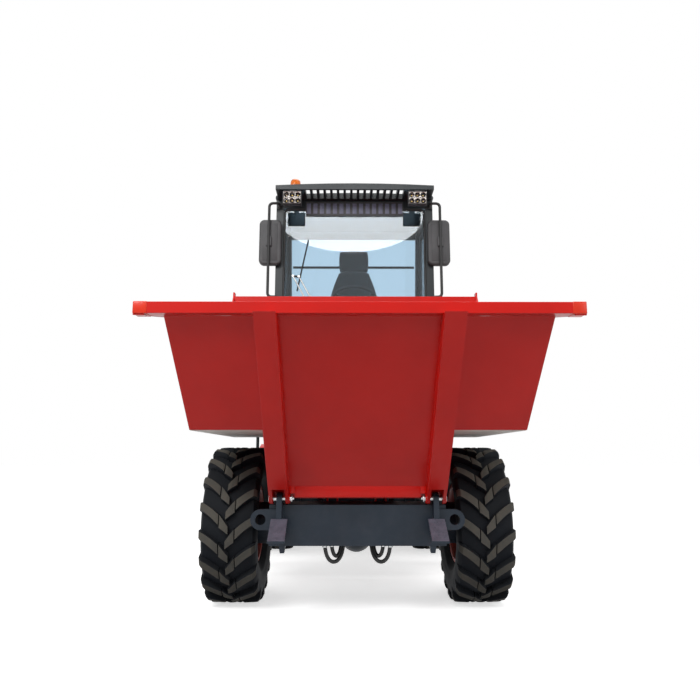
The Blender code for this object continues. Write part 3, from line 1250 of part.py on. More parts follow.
def build_cab_fittings():
    """Work lamps, beacon, mirrors on their arms and the wiper."""
    front = at_front(CAB_FRONT)
    low = ROOF_LOW_Z
    for side, sign in SIDES:
        y = at_front(VISOR_FRONT)
        x = (sign * (LAMP_X - LAMP_WIDTH / 2), sign * (LAMP_X + LAMP_WIDTH / 2))
        body = block(x, (y - LAMP_FOOT, y - LAMP_FOOT + LAMP_DEPTH), (low - LAMP_HEIGHT - LAMP_FOOT, low - LAMP_FOOT))
        foot = block((sign * (LAMP_X - LAMP_FOOT), sign * (LAMP_X + LAMP_FOOT)), (y, y + LAMP_FOOT),
                     (low - LAMP_FOOT * 2, low))
        node(f"work_lamp_{side}", "lamp", [bevelled(body, PLATE), foot])

        arm_x, arm_y = sign * ARM_X, at_front(ARM_Y)
        post_x = sign * (CAB_HALF - CAB_POST / 2)
        route = rounded([
            (post_x, front - SEAT_GAP, ARM_LOW_Z), (post_x, arm_y, ARM_LOW_Z), (arm_x, arm_y, ARM_LOW_Z),
            (arm_x, arm_y, ARM_HIGH_Z), (post_x, arm_y, ARM_HIGH_Z), (post_x, front - SEAT_GAP, ARM_HIGH_Z),
        ], ARM_BEND * 0.6)
        back = arm_y + ARM_RADIUS + MIRROR_STAND
        middle_z = MIRROR_LOW_Z + MIRROR_HEIGHT / 2
        clamp = block((arm_x - ARM_RADIUS * 2, arm_x + ARM_RADIUS * 2), (arm_y, back + MIRROR_DEPTH / 2),
                      (middle_z - ARM_BEND, middle_z + ARM_BEND))
        head = block((sign * MIRROR_INNER_X, sign * (MIRROR_INNER_X + MIRROR_WIDTH)), (back, back + MIRROR_DEPTH),
                     (MIRROR_LOW_Z, MIRROR_LOW_Z + MIRROR_HEIGHT))
        pieces = [bevelled(head, MIRROR_BEVEL, 2), clamp, pipe(route, ARM_RADIUS)]
        node(f"mirror_{side}", "plastic", pieces, smooth=40)

    place = (-BEACON_X, at_front(BEACON_Y) + CAB_POST)
    top = ROOF_LOW_Z + ROOF_WALL + SEAT_GAP
    base = rod("Z", place, BEACON_RADIUS, top, top + BEACON_BASE_HEIGHT)
    lens_low = top + BEACON_BASE_HEIGHT - PLATE
    lens = rod("Z", place, BEACON_RADIUS * 0.95, lens_low, lens_low + BEACON_HEIGHT, SIDES_ROUND, BEACON_RADIUS * 0.85)
    node("beacon", "orange", [base, lens], smooth=40)

    y = front - WIPER_STAND
    arm = bar_between((WIPER_PIVOT_X, y, WIPER_PIVOT_Z), (WIPER_TIP_X, y, WIPER_TIP_Z), WIPER_ARM_RADIUS, 8)
    boss = rod("Y", (WIPER_PIVOT_X, WIPER_PIVOT_Z - WIPER_STAND * 3), WIPER_STAND, y - WIPER_ARM_RADIUS, front - SEAT_GAP, 12)
    link = bar_between((WIPER_PIVOT_X, y, WIPER_PIVOT_Z - WIPER_STAND * 3), (WIPER_PIVOT_X, y, WIPER_PIVOT_Z + WIPER_ARM_RADIUS),
                       WIPER_ARM_RADIUS * 1.2, 8)
    blade = block((WIPER_TIP_X - WIPER_BLADE_HALF, WIPER_TIP_X + WIPER_BLADE_HALF),
                  (y - WIPER_ARM_RADIUS / 2, front + GLASS_SEAT - SEAT_GAP), (WIPER_BLADE_LOW_Z, WIPER_BLADE_TOP_Z))
    node("wiper", "cab_grey", [link, boss, arm, blade])


def build_interior():
    """Seat, dashboard and steering wheel."""
    floor = CAB_FLOOR_Z + CAB_SKIN + SEAT_GAP
    y = at_front(SEAT_Y)
    length = SEAT_LENGTH / 2
    base = block((-SEAT_BASE_HALF, SEAT_BASE_HALF), (y - length * 0.8, y + length), (floor, SEAT_BASE_TOP_Z))
    node("seat_base", "cab_grey", [base])
    top = SEAT_BASE_TOP_Z + SEAT_GAP
    cushion = block((-SEAT_HALF, SEAT_HALF), (y - length, y + length), (top, top + CUSHION_HEIGHT))
    node("seat_cushion", "seat", [bevelled(cushion, PLATE * 2)])
    back_y = y + length - BACK_WALL
    cushion_top = top + CUSHION_HEIGHT + SEAT_GAP
    rest = block((-BACK_HALF, BACK_HALF), (back_y, back_y + BACK_WALL), (cushion_top, BACK_TOP_Z))
    head_y = back_y + BACK_WALL / 4
    head = block((-HEADREST_HALF, HEADREST_HALF), (head_y, head_y + HEADREST_WALL), (HEADREST_LOW_Z, HEADREST_TOP_Z))
    neck = block((-HEADREST_NECK_HALF, HEADREST_NECK_HALF), (head_y + PLATE * 3, head_y + HEADREST_WALL - PLATE * 2),
                 (BACK_TOP_Z - PLATE * 2, HEADREST_LOW_Z + PLATE * 2))
    node("seat_back", "seat", [bevelled(rest, PLATE * 2), neck, bevelled(head, PLATE * 2)])
    front = at_front(CAB_FRONT) + CAB_POST / 2 + SEAT_GAP
    dash = block((-DASH_HALF, DASH_HALF), (front, front + DASH_DEPTH), (floor, CAB_WAIST_Z))
    hump = block((-COLUMN_RADIUS * 3, COLUMN_RADIUS * 3), (front + COLUMN_RADIUS, front + DASH_DEPTH), (CAB_WAIST_Z - PLATE, COLUMN_LOW_Z))
    wheel_y = at_front(WHEEL_RING_Y)
    tilt = math.radians(WHEEL_RING_TILT)
    axis = Vector((0, math.sin(tilt), math.cos(tilt)))
    centre = Vector((0, wheel_y, WHEEL_RING_Z))
    reach = (WHEEL_RING_Z - COLUMN_LOW_Z + PLATE) / axis.z
    foot = centre - axis * reach
    column = bar_between(foot - axis * PLATE, centre - axis * COLUMN_RADIUS, COLUMN_RADIUS, 12)
    node("dashboard", "cab_grey", [dash, hump, column])
    turn = Matrix.Rotation(-tilt, 4, "X")
    route = []
    for i in range(WHEEL_RING_STEPS):
        angle = math.tau * i / WHEEL_RING_STEPS
        flat = Vector((WHEEL_RING_RADIUS * math.cos(angle), WHEEL_RING_RADIUS * math.sin(angle), 0))
        route.append(centre + turn @ flat)
    ring = pipe(route, WHEEL_RING_WIRE, closed=True)
    boss = bar_between(centre - axis * (COLUMN_RADIUS - SEAT_GAP), centre + axis * WHEEL_SPOKE_HALF, COLUMN_RADIUS * 1.2, 12)
    pieces = [ring, boss]
    for angle in (90, 210, 330):
        flat = Vector((math.cos(math.radians(angle)), math.sin(math.radians(angle)), 0)) * WHEEL_RING_RADIUS
        pieces.append(bar_between(centre, centre + turn @ flat, WHEEL_SPOKE_HALF * 0.8, 8))
    node("steering_wheel", "cab_grey", pieces, smooth=40)


def build_hood():
    """The engine hood, hinged behind the cab, with its rear grille, and the bulkhead that carries it."""
    front, back = at_front(HOOD_FRONT), at_front(HOOD_BACK)
    hinge_y = front + HOOD_HINGE_BEHIND
    hinge = joint_frame("hood_hinge", (0, hinge_y, HOOD_HINGE_Z))
    outline = [(front, HOOD_LOW_Z), (back, HOOD_LOW_Z), (back, HOOD_TAIL_Z - HOOD_BEVEL), (back - HOOD_BEVEL, HOOD_TAIL_Z),
               (front, HOOD_TOP_Z)]
    shell = prism(outline, "X", -HOOD_HALF, HOOD_HALF)
    inner = [(front - OVERRUN, HOOD_LOW_Z - OVERRUN), (back - HOOD_WALL, HOOD_LOW_Z - OVERRUN),
             (back - HOOD_WALL, HOOD_TAIL_Z - HOOD_BEVEL - HOOD_WALL / 2),
             (back - HOOD_BEVEL - HOOD_WALL / 2, HOOD_TAIL_Z - HOOD_WALL), (front - OVERRUN, HOOD_TOP_Z - HOOD_WALL)]
    hollow = prism(inner, "X", -HOOD_HALF + HOOD_WALL, HOOD_HALF - HOOD_WALL)
    window = block((-GRILLE_HALF, GRILLE_HALF), (back - HOOD_WALL - OVERRUN, back + OVERRUN), (GRILLE_LOW_Z, GRILLE_TOP_Z))
    ear = rod("X", (hinge_y, HOOD_HINGE_Z), HOOD_LUG_RADIUS, -HOOD_BLOCK_HALF, HOOD_BLOCK_HALF)
    ear_top = block((-HOOD_BLOCK_HALF, HOOD_BLOCK_HALF), (hinge_y - HOOD_LUG_RADIUS, hinge_y + HOOD_LUG_RADIUS),
                    (HOOD_HINGE_Z, HOOD_TOP_Z - HOOD_WALL * 0.9))
    bore = rod("X", (hinge_y, HOOD_HINGE_Z), HOOD_PIN_RADIUS + PIN_PLAY, -HOOD_BLOCK_HALF - OVERRUN, HOOD_BLOCK_HALF + OVERRUN)
    base = combine(combine(shell, hollow, "DIFFERENCE"), window, "DIFFERENCE")
    node("engine_hood", "red", [base, ear, ear_top], [bore], hinge)

    half = GRILLE_HALF - SEAT_GAP
    y = (back - HOOD_WALL, back - HOOD_WALL + GRILLE_WALL)
    low, high = GRILLE_LOW_Z + SEAT_GAP, GRILLE_TOP_Z - SEAT_GAP
    grille = block((-half, half), y, (low, high))
    pitch = (high - low) / (GRILLE_SLATS + SLAT_SHARE)
    cuts = []
    for i in range(GRILLE_SLATS):
        z = low + pitch * (i + SLAT_SHARE)
        cuts.append(block((-half + pitch * SLAT_SHARE, half - pitch * SLAT_SHARE), (y[0] - OVERRUN, y[1] + OVERRUN),
                          (z, z + pitch * SLAT_SHARE)))
    node("hood_grille", "cab_grey", [grille], cuts, hinge)

    wall_y = (at_front(BULKHEAD_FRONT), at_front(BULKHEAD_FRONT) + BULKHEAD_WALL)
    pieces = [block((-BULKHEAD_HALF, BULKHEAD_HALF), wall_y, (CHASSIS_TOP_Z + SEAT_GAP, BULKHEAD_TOP_Z))]
    for _, sign in SIDES:
        inner_x = sign * (HOOD_BLOCK_HALF + PLATE)
        x = (inner_x, inner_x + sign * HOOD_LUG_WALL)
        pieces.append(block(x, (wall_y[0], hinge_y), (HOOD_HINGE_Z - HOOD_LUG_RADIUS * 3, HOOD_HINGE_Z - HOOD_LUG_RADIUS * 0.5)))
        pieces.append(rod("X", (hinge_y, HOOD_HINGE_Z), HOOD_LUG_RADIUS * 0.9, x[0], x[1]))
    pieces.append(rod("X", (hinge_y, HOOD_HINGE_Z), HOOD_PIN_RADIUS, -HOOD_BLOCK_HALF - PLATE * 2, HOOD_BLOCK_HALF + PLATE * 2))
    node("bulkhead", "cab_grey", pieces)


def build_exhaust():
    """An upright exhaust on the right wing."""
    place = (-EXHAUST_X, at_front(EXHAUST_Y))
    half_step = math.radians((WING_END_ANGLE - WING_START_ANGLE) / WING_STEPS / 2)
    wing_top = TYRE_RADIUS + WING_RADIUS * math.cos(half_step) + SEAT_GAP
    foot = rod("Z", place, EXHAUST_FOOT_RADIUS, wing_top, wing_top + EXHAUST_FOOT_HEIGHT)
    stack = rod("Z", place, EXHAUST_RADIUS, wing_top + EXHAUST_FOOT_HEIGHT / 2, EXHAUST_TOP_Z)
    bore = rod("Z", place, EXHAUST_RADIUS - PLATE / 2, EXHAUST_TOP_Z - EXHAUST_FOOT_RADIUS, EXHAUST_TOP_Z + OVERRUN)
    node("exhaust", "steel", [foot, stack], [bore], smooth=30)


def build_steering_cylinder(front_parent):
    sizes = (STEER_BARREL_RADIUS, STEER_ROD_RADIUS, STEER_EYE_RADIUS, STEER_EYE_HALF, STEER_PIN_RADIUS,
             STEER_BARREL_SHARE, STEER_ROD_START_SHARE, STEER_RETRACT)
    base = (-STEER_BASE_X, PIVOT_Y + STEER_BASE_BEHIND, STEER_Z)
    eye = (-STEER_EYE_X, PIVOT_Y - STEER_EYE_AHEAD, STEER_Z)
    carrier = joint_frame("steer_barrel", base)
    follower = joint_frame("steer_rod", base, carrier)
    build_cylinder("steering_cylinder", base, eye, "Z", sizes, carrier, follower)


def main():
    clear_scene()
    front = joint_frame("articulation", (0, PIVOT_Y, (EYE_LOW_Z + EYE_HIGH_Z) / 2))
    skip = joint_frame("skip_hinge", (0, at_front(-SKIP_PIN_AHEAD), SKIP_PIN_Z), front)
    for side, sign in SIDES:
        build_wheel("front", side, sign, FRONT_AXLE_Y, front)
        build_wheel("rear", side, sign, REAR_AXLE_Y, None)
    build_front(front)
    build_skip(skip)
    build_chassis()
    build_rear()
    build_wings()
    build_tanks()
    build_cab_shell()
    build_glass()
    build_doors()
    build_cab_fittings()
    build_interior()
    build_hood()
    build_exhaust()
    build_steering_cylinder(front)


main()
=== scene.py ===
"""Visual model of a cabbed, articulated site dumper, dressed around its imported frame."""

import logging
import math
from dataclasses import dataclass, field
from enum import Enum
from typing import Sequence

import bmesh
import bpy
from mathutils import Matrix, Vector


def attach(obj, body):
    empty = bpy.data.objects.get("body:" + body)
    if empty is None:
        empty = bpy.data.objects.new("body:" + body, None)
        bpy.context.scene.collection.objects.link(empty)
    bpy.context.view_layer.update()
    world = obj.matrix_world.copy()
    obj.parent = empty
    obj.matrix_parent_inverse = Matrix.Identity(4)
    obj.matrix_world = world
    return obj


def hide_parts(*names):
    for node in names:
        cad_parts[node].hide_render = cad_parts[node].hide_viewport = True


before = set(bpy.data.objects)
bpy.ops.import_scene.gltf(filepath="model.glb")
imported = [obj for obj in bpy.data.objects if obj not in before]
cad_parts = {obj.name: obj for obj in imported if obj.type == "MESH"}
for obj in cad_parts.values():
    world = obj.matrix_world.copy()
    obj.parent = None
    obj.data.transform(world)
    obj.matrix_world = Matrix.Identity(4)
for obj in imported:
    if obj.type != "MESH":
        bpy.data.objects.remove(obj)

logging.basicConfig(level=logging.INFO, format="%(message)s")
log = logging.getLogger("dumper")

# Places that several classes share, in metres
FRONT_AXLE_Y = -0.775
REAR_AXLE_Y = 1.525
WHEEL_X = 0.755
WHEEL_Z = 0.4825
MM = 0.001
SIDES: tuple[tuple[str, int], ...] = (("left", 1), ("right", -1))


def linear(code: str) -> tuple[float, float, float, float]:
    """Turns an sRGB hex value into a linear colour.

    Args:
        code: Six hex digits after a hash.

    Returns:
        The linear colour with an alpha of 1.
    """
    parts = [int(code[i : i + 2], 16) / 255 for i in (1, 3, 5)]
    wide = [p / 12.92 if p <= 0.04045 else ((p + 0.055) / 1.055) ** 2.4 for p in parts]
    return (wide[0], wide[1], wide[2], 1.0)


def add_node(
    tree: bpy.types.NodeTree, kind: str, values: dict | None = None, links: dict | None = None, **settings
) -> bpy.types.Node:
    """Adds a shader node with its settings, socket values and incoming links.

    Args:
        tree: The node tree to add to.
        kind: The node's type name.
        values: Socket name or index to value.
        links: Socket name or index to the output socket that feeds it.
        settings: Properties of the node itself.

    Returns:
        The new node.
    """
    made = tree.nodes.new(kind)
    for key, value in settings.items():
        setattr(made, key, value)
    for key, value in (values or {}).items():
        made.inputs[key].default_value = value
    for key, socket in (links or {}).items():
        tree.links.new(socket, made.inputs[key])
    return made


class Wear(Enum):
    """How a finish has aged."""

    CLEAN = 0
    DUSTY = 1
    SCUFFED = 2


@dataclass(frozen=True)
class Finish:
    """A finish of one real material, drawn with noise on object coordinates."""

    name: str
    colour: str
    second: str
    roughness: float
    spread: float = 0.08
    metallic: float = 0.0
    patch_mm: float = 120.0
    grain_mm: float = 2.0
    bump_mm: float = 0.05
    coat: float = 0.0
    wear: Wear = Wear.CLEAN
    dust: str = "#8A8273"
    dust_amount: float = 0.35
    sheen: float = 0.0
    shine: float = 0.5

    def build(self) -> bpy.types.Material:
        """Builds the material.

        Returns:
            The finished material.
        """
        material = bpy.data.materials.new(self.name)
        material.use_nodes = True
        tree = material.node_tree
        shader = tree.nodes["Principled BSDF"]
        place = add_node(tree, "ShaderNodeTexCoord").outputs["Object"]
        patches = add_node(
            tree, "ShaderNodeTexNoise", {"Scale": 1 / (self.patch_mm * MM), "Detail": 4.0, "Roughness": 0.6},
            {"Vector": place}
        ).outputs["Fac"]
        grain = add_node(
            tree, "ShaderNodeTexNoise", {"Scale": 1 / (self.grain_mm * MM), "Detail": 3.0}, {"Vector": place}
        ).outputs["Fac"]
        spread = add_node(
            tree, "ShaderNodeMapRange", {"From Min": 0.35, "From Max": 0.65, "To Min": 0.0, "To Max": 1.0},
            {"Value": patches}
        ).outputs["Result"]
        tones = {6: linear(self.colour), 7: linear(self.second)}
        colour = add_node(tree, "ShaderNodeMix", tones, {0: spread}, data_type="RGBA").outputs[2]
        rough = add_node(
            tree,
            "ShaderNodeMapRange",
            {"To Min": max(self.roughness - self.spread, 0.02), "To Max": self.roughness + self.spread},
            {"Value": patches},
        ).outputs["Result"]
        if self.wear is Wear.DUSTY:
            colour, rough = self._dust(tree, place, colour, rough)
        if self.wear is Wear.SCUFFED:
            colour = self._scuffs(tree, place, colour)
        tree.links.new(colour, shader.inputs["Base Color"])
        tree.links.new(rough, shader.inputs["Roughness"])
        bump = add_node(
            tree, "ShaderNodeBump", {"Strength": 0.35, "Distance": self.bump_mm * MM}, {"Height": grain}
        )
        tree.links.new(bump.outputs["Normal"], shader.inputs["Normal"])
        shader.inputs["Metallic"].default_value = self.metallic
        shader.inputs["Specular IOR Level"].default_value = self.shine
        if self.coat:
            shader.inputs["Coat Weight"].default_value = self.coat
            shader.inputs["Coat Roughness"].default_value = 0.06
        if self.sheen:
            shader.inputs["Sheen Weight"].default_value = self.sheen
        return material

    def _dust(
        self, tree: bpy.types.NodeTree, place: bpy.types.NodeSocket, colour: bpy.types.NodeSocket,
        rough: bpy.types.NodeSocket,
    ) -> tuple[bpy.types.NodeSocket, bpy.types.NodeSocket]:
        """Lays dust on what faces up and in patches, thicker near the ground.

        Args:
            tree: The node tree to add to.
            place: The output with the object coordinates.
            colour: The output with the clean colour.
            rough: The output with the clean roughness.

        Returns:
            The outputs with the dusty colour and roughness.
        """
        normal = add_node(tree, "ShaderNodeNewGeometry").outputs["Normal"]
        up = add_node(tree, "ShaderNodeSeparateXYZ", links={"Vector": normal}).outputs["Z"]
        height = add_node(tree, "ShaderNodeSeparateXYZ", links={"Vector": place}).outputs["Z"]
        low = add_node(
            tree, "ShaderNodeMapRange", {"From Min": 0.0, "From Max": 1.1, "To Min": 1.0, "To Max": 0.35},
            {"Value": height}
        ).outputs["Result"]
        cloud = add_node(
            tree, "ShaderNodeTexNoise", {"Scale": 9.0, "Detail": 5.0, "Roughness": 0.65}, {"Vector": place}
        ).outputs["Fac"]
        lift = add_node(tree, "ShaderNodeMath", {1: 0.35}, {0: up}, operation="MULTIPLY").outputs[0]
        total = add_node(tree, "ShaderNodeMath", links={0: cloud, 1: lift}, operation="ADD").outputs[0]
        mask = add_node(
            tree, "ShaderNodeMapRange", {"From Min": 0.42, "From Max": 0.85, "To Min": 0.0, "To Max": 1.0},
            {"Value": total}
        ).outputs["Result"]
        mask = add_node(tree, "ShaderNodeMath", links={0: mask, 1: low}, operation="MULTIPLY").outputs[0]
        mask = add_node(
            tree, "ShaderNodeMath", {1: self.dust_amount}, {0: mask}, operation="MULTIPLY"
        ).outputs[0]
        tint = add_node(
            tree, "ShaderNodeMix", {7: linear(self.dust)}, {0: mask, 6: colour}, data_type="RGBA"
        ).outputs[2]
        dull = add_node(tree, "ShaderNodeMix", {3: 0.9}, {0: mask, 2: rough}).outputs[0]
        return tint, dull

    def _scuffs(
        self, tree: bpy.types.NodeTree, place: bpy.types.NodeSocket, colour: bpy.types.NodeSocket
    ) -> bpy.types.NodeSocket:
        """Draws thin pale scratches, as shovels and boots leave on paint.

        Args:
            tree: The node tree to add to.
            place: The output with the object coordinates.
            colour: The output with the clean colour.

        Returns:
            The output with the scratched colour.
        """
        stretch = add_node(
            tree, "ShaderNodeMapping", {"Scale": (9.0, 60.0, 9.0), "Rotation": (0.3, 0.2, 0.7)},
            {"Vector": place}
        ).outputs["Vector"]
        lines = add_node(
            tree, "ShaderNodeTexNoise", {"Scale": 2.0, "Detail": 6.0, "Roughness": 0.7}, {"Vector": stretch}
        ).outputs["Fac"]
        mask = add_node(
            tree, "ShaderNodeMapRange", {"From Min": 0.66, "From Max": 0.72, "To Min": 0.0, "To Max": 0.45},
            {"Value": lines}
        ).outputs["Result"]
        return add_node(
            tree, "ShaderNodeMix", {7: linear(self.dust)}, {0: mask, 6: colour}, data_type="RGBA"
        ).outputs[2]


@dataclass(frozen=True)
class Clear:
    """A transparent finish, such as glass or a lens."""

    name: str
    colour: str
    roughness: float
    ior: float
    transmission: float
    alpha: float = 1.0

    def build(self) -> bpy.types.Material:
        """Builds the material.

        Returns:
            The finished material.
        """
        material = bpy.data.materials.new(self.name)
        material.use_nodes = True
        tree = material.node_tree
        shader = tree.nodes["Principled BSDF"]
        place = add_node(tree, "ShaderNodeTexCoord").outputs["Object"]
        film = add_node(
            tree, "ShaderNodeTexNoise", {"Scale": 14.0, "Detail": 3.0}, {"Vector": place}
        ).outputs["Fac"]
        rough = add_node(
            tree, "ShaderNodeMapRange", {"To Min": self.roughness, "To Max": self.roughness + 0.04},
            {"Value": film}
        ).outputs["Result"]
        tree.links.new(rough, shader.inputs["Roughness"])
        shader.inputs["Base Color"].default_value = linear(self.colour)
        shader.inputs["IOR"].default_value = self.ior
        shader.inputs["Transmission Weight"].default_value = self.transmission
        shader.inputs["Alpha"].default_value = self.alpha
        return material


# Steel plate sprayed with two-pack enamel: smooth, glossy, deep red with slight orange peel
RED_ENAMEL = Finish(
    "red_enamel_on_steel", "#C8140A", "#BE1209", 0.30, 0.05, 0.0, 300, 3.0, 0.02, coat=0.05, shine=0.2
)
# The same enamel, drawn brighter and more orange on the sawn ends of the rim
END_ENAMEL = Finish(
    "red_enamel_on_end_caps", "#DA2E0E", "#CE290C", 0.28, 0.05, 0.0, 60, 3.0, 0.02, coat=0.05, shine=0.3
)
# Pale sheet under the skip's wings, a painted reflection of the white ground; the blank plate wears the same
# pale finish
PALE_PRIMER_AND_PAINTED_REFLECTION = Finish(
    "pale_primer_and_painted_reflection", "#E4E2DC", "#D2CFC6", 0.6, 0.08, 0.0, 60, 2.0, 0.04, wear=Wear.SCUFFED, dust="#8A8378"
)
# The same enamel on the pressed rims, satin and dusty
RIM_ENAMEL = Finish(
    "red_enamel_on_rims", "#B3261B", "#A32018", 0.38, 0.08, 0.0, 90, 2.5, 0.03, wear=Wear.DUSTY,
    dust_amount=0.35
)
# Powder-coated chassis steel: satin, blue-grey, a little dust
SLATE_COAT = Finish(
    "slate_powder_coat", "#1F2934", "#1B242E", 0.42, 0.08, 0.0, 160, 1.8, 0.05, wear=Wear.DUSTY,
    dust="#5C5C60", dust_amount=0.15, shine=0.25
)
# Trodden plates where the coat is worn and scratched
WORN_COAT = Finish(
    "worn_powder_coat", "#5D5C6A", "#4C4D59", 0.5, 0.1, 0.1, 40, 1.5, 0.06, wear=Wear.SCUFFED, dust="#8E8C98"
)
# Powder-coated cab sections: satin dark grey-green
CAB_COAT = Finish("cab_powder_coat", "#20272A", "#1D2326", 0.36, 0.07, 0.0, 220, 1.8, 0.03, shine=0.35)
# Tyre rubber: matt bluish black with grey-olive dust in the tread
TYRE_RUBBER = Finish(
    "tyre_rubber", "#101318", "#15181D", 0.66, 0.1, 0.0, 60, 3.5, 0.2, wear=Wear.DUSTY, dust="#3A3A38",
    dust_amount=0.2, shine=0.12
)
# The lugs' trodden faces, where the mould skin is gone and dust stays; their lighter tone is partly painted
# light on the lugs' tops
TREAD_WEAR_AND_PAINTED_LIGHT = Finish(
    "tread_wear_and_painted_light", "#4A4946", "#524F49", 0.85, 0.08, 0.0, 45, 2.5, 0.3, wear=Wear.DUSTY, dust="#6A665B",
    dust_amount=0.5, shine=0.15
)
# Wire-braid hose with a smooth extruded cover
HOSE_RUBBER = Finish("hose_rubber", "#131415", "#1A1B1C", 0.42, 0.08, 0.0, 30, 1.2, 0.04, shine=0.35)
# Injection-moulded ABS with a fine grain, as on mirror backs and dashboards
BLACK_ABS = Finish("moulded_abs", "#3A3A3C", "#343436", 0.55, 0.06, 0.0, 90, 1.0, 0.08)
# Ground and zinc-plated pins, cold and bright
ZINC_STEEL = Finish("zinc_plated_steel", "#C9CBCB", "#AEB2B4", 0.28, 0.08, 1.0, 15, 0.8, 0.02)
# Hard-chromed piston rods, mirror bright
CHROME_ROD = Finish("hard_chrome", "#E4E6E8", "#D8DBDE", 0.08, 0.03, 1.0, 60, 0.6, 0.005)
# Cast iron block under engine paint and oil film
CAST_IRON = Finish(
    "cast_iron", "#55565A", "#44464A", 0.55, 0.1, 0.4, 70, 2.0, 0.12, wear=Wear.DUSTY, dust_amount=0.3
)
# Aluminised exhaust pipe with heat tint
EXHAUST_STEEL = Finish("aluminised_steel", "#8D8A84", "#6E665D", 0.42, 0.1, 1.0, 50, 1.0, 0.03)
# Woven polyester seat cloth
SEAT_CLOTH = Finish("seat_cloth", "#2E3134", "#3A3D40", 0.9, 0.05, 0.0, 60, 1.6, 0.5, sheen=0.3)
# Extruded seal rubber: black, dull, without dust
SEAL_RUBBER = Finish("seal_rubber", "#101112", "#161718", 0.6, 0.06, 0.0, 40, 1.2, 0.05)
# Brushed aluminium plate around the lamps' bowls, warm grey
BEZEL = Finish("brushed_bezel", "#B9B2B0", "#A39C9B", 0.35, 0.06, 0.8, 20, 0.8, 0.02)
# Vacuum-metallised bowls, dark because they mirror the ground
BOWL_METAL = Finish("lamp_bowl_metal", "#5E5552", "#4B4442", 0.2, 0.05, 1.0, 20, 0.8, 0.01)
# Vacuum-metallised inner reflector, bright
REFLECTOR = Finish("reflector_metal", "#F2F2EF", "#E8E8E4", 0.1, 0.04, 1.0, 20, 0.8, 0.01)
# Silvered glass, as smooth as metal gets
MIRROR_GLASS = Finish("mirror_glass", "#EDF1F2", "#E6EBEC", 0.03, 0.01, 1.0, 80, 1.0, 0.0)
# Phosphor over the lamps' diodes, yellow and even
DIODE_PHOSPHOR = Finish("diode_phosphor", "#E8C74A", "#D9B53A", 0.4, bump_mm=0.0)
# Blue-grey moulded slats behind the windscreen's header
VENT_MOULDING = Finish("vent_moulding", "#676A80", "#5A5C70", 0.5, 0.06, 0.0, 40, 1.0, 0.04)
# Tinted float glass, pale blue
CAB_GLASS = Clear("float_glass", "#D3E5F1", 0.0, 1.45, 1.0)
# Clear polycarbonate, thin, so its index is lowered to bend little
LENS = Clear("polycarbonate_lens", "#FBFBF8", 0.03, 1.18, 1.0)
# Amber moulded acrylic
AMBER_LENS = Clear("amber_lens", "#F07A08", 0.08, 1.49, 0.45)
# Red moulded acrylic, nearly opaque
RED_LENS = Clear("red_lens", "#B0120C", 0.1, 1.49, 0.3)


class Dresser:
    """Keeps the built materials and gives the finishes out."""

    def __init__(self) -> None:
        """Starts with nothing built."""
        self._made: dict[str, bpy.types.Material] = {}

    def material(self, finish: "Finish | Clear") -> bpy.types.Material:
        """Gives a finish's material, built once.

        Args:
            finish: The finish.

        Returns:
            Its material.
        """
        if finish.name not in self._made:
            self._made[finish.name] = finish.build()
        return self._made[finish.name]

    def dress(self, item: bpy.types.Object, finish: "Finish | Clear") -> None:
        """Puts one finish on a whole object.

        Args:
            item: The object to dress.
            finish: The finish it gets.
        """
        if len(item.data.materials):
            item.data.materials.clear()
        item.data.materials.append(self.material(finish))


DRESSER = Dresser()


def shade(mesh: bpy.types.Mesh, angle: float = 32.0) -> None:
    """Shades a mesh smooth but for its sharp edges.

    Args:
        mesh: The mesh to shade.
        angle: The angle in degrees above which an edge stays sharp.
    """
    mesh.shade_smooth()
    mesh.set_sharp_from_angle(angle=math.radians(angle))


def finished(
    name: str, bm: bmesh.types.BMesh, finish: "Finish | Clear", body: str, angle: float = 32.0
) -> bpy.types.Object:
    """Turns a bmesh into a dressed piece that rides on a body.

    Args:
        name: The piece's plain name.
        bm: Its shape, in place, which is freed.
        finish: Its finish.
        body: The body it rides on.
        angle: The shading angle in degrees.

    Returns:
        The new object.
    """
    bmesh.ops.remove_doubles(bm, verts=bm.verts[:], dist=0.01 * MM)
    bmesh.ops.recalc_face_normals(bm, faces=bm.faces[:])
    mesh = bpy.data.meshes.new(name)
    bm.to_mesh(mesh)
    bm.free()
    shade(mesh, angle)
    item = bpy.data.objects.new(name, mesh)
    bpy.context.scene.collection.objects.link(item)
    DRESSER.dress(item, finish)
    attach(item, body)
    log.info("piece %s", name)
    return item


def refined(
    node: str, width: float, finish: "Finish | Clear", body: str, slot: str, segments: int = 2
) -> bpy.types.Object:
    """Stands for a CAD node with the same shape, its edges broken as the real plate's are.

    Args:
        node: The node's name.
        width: The bevel's width in metres.
        finish: Its finish.
        body: The body that the node belongs to.
        slot: The record's material slot; not used.
        segments: The bevel's segments.

    Returns:
        The piece that replaces the node.
    """
    bm = bmesh.new()
    bm.from_mesh(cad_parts[node].data)
    bmesh.ops.remove_doubles(bm, verts=bm.verts[:], dist=0.02 * MM)
    if node != "skip_tub":
        bmesh.ops.dissolve_limit(bm, angle_limit=math.radians(0.1), verts=bm.verts[:], edges=bm.edges[:])
    piece = finished(f"{node}_body", bm, finish, body)
    bevel = piece.modifiers.new("edges", "BEVEL")
    bevel.width = width
    bevel.segments = segments
    bevel.limit_method = "ANGLE"
    bevel.angle_limit = math.radians(30)
    weighted = piece.modifiers.new("flats", "WEIGHTED_NORMAL")
    weighted.keep_sharp = True
    weighted.weight = 80
    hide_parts(node)
    return piece


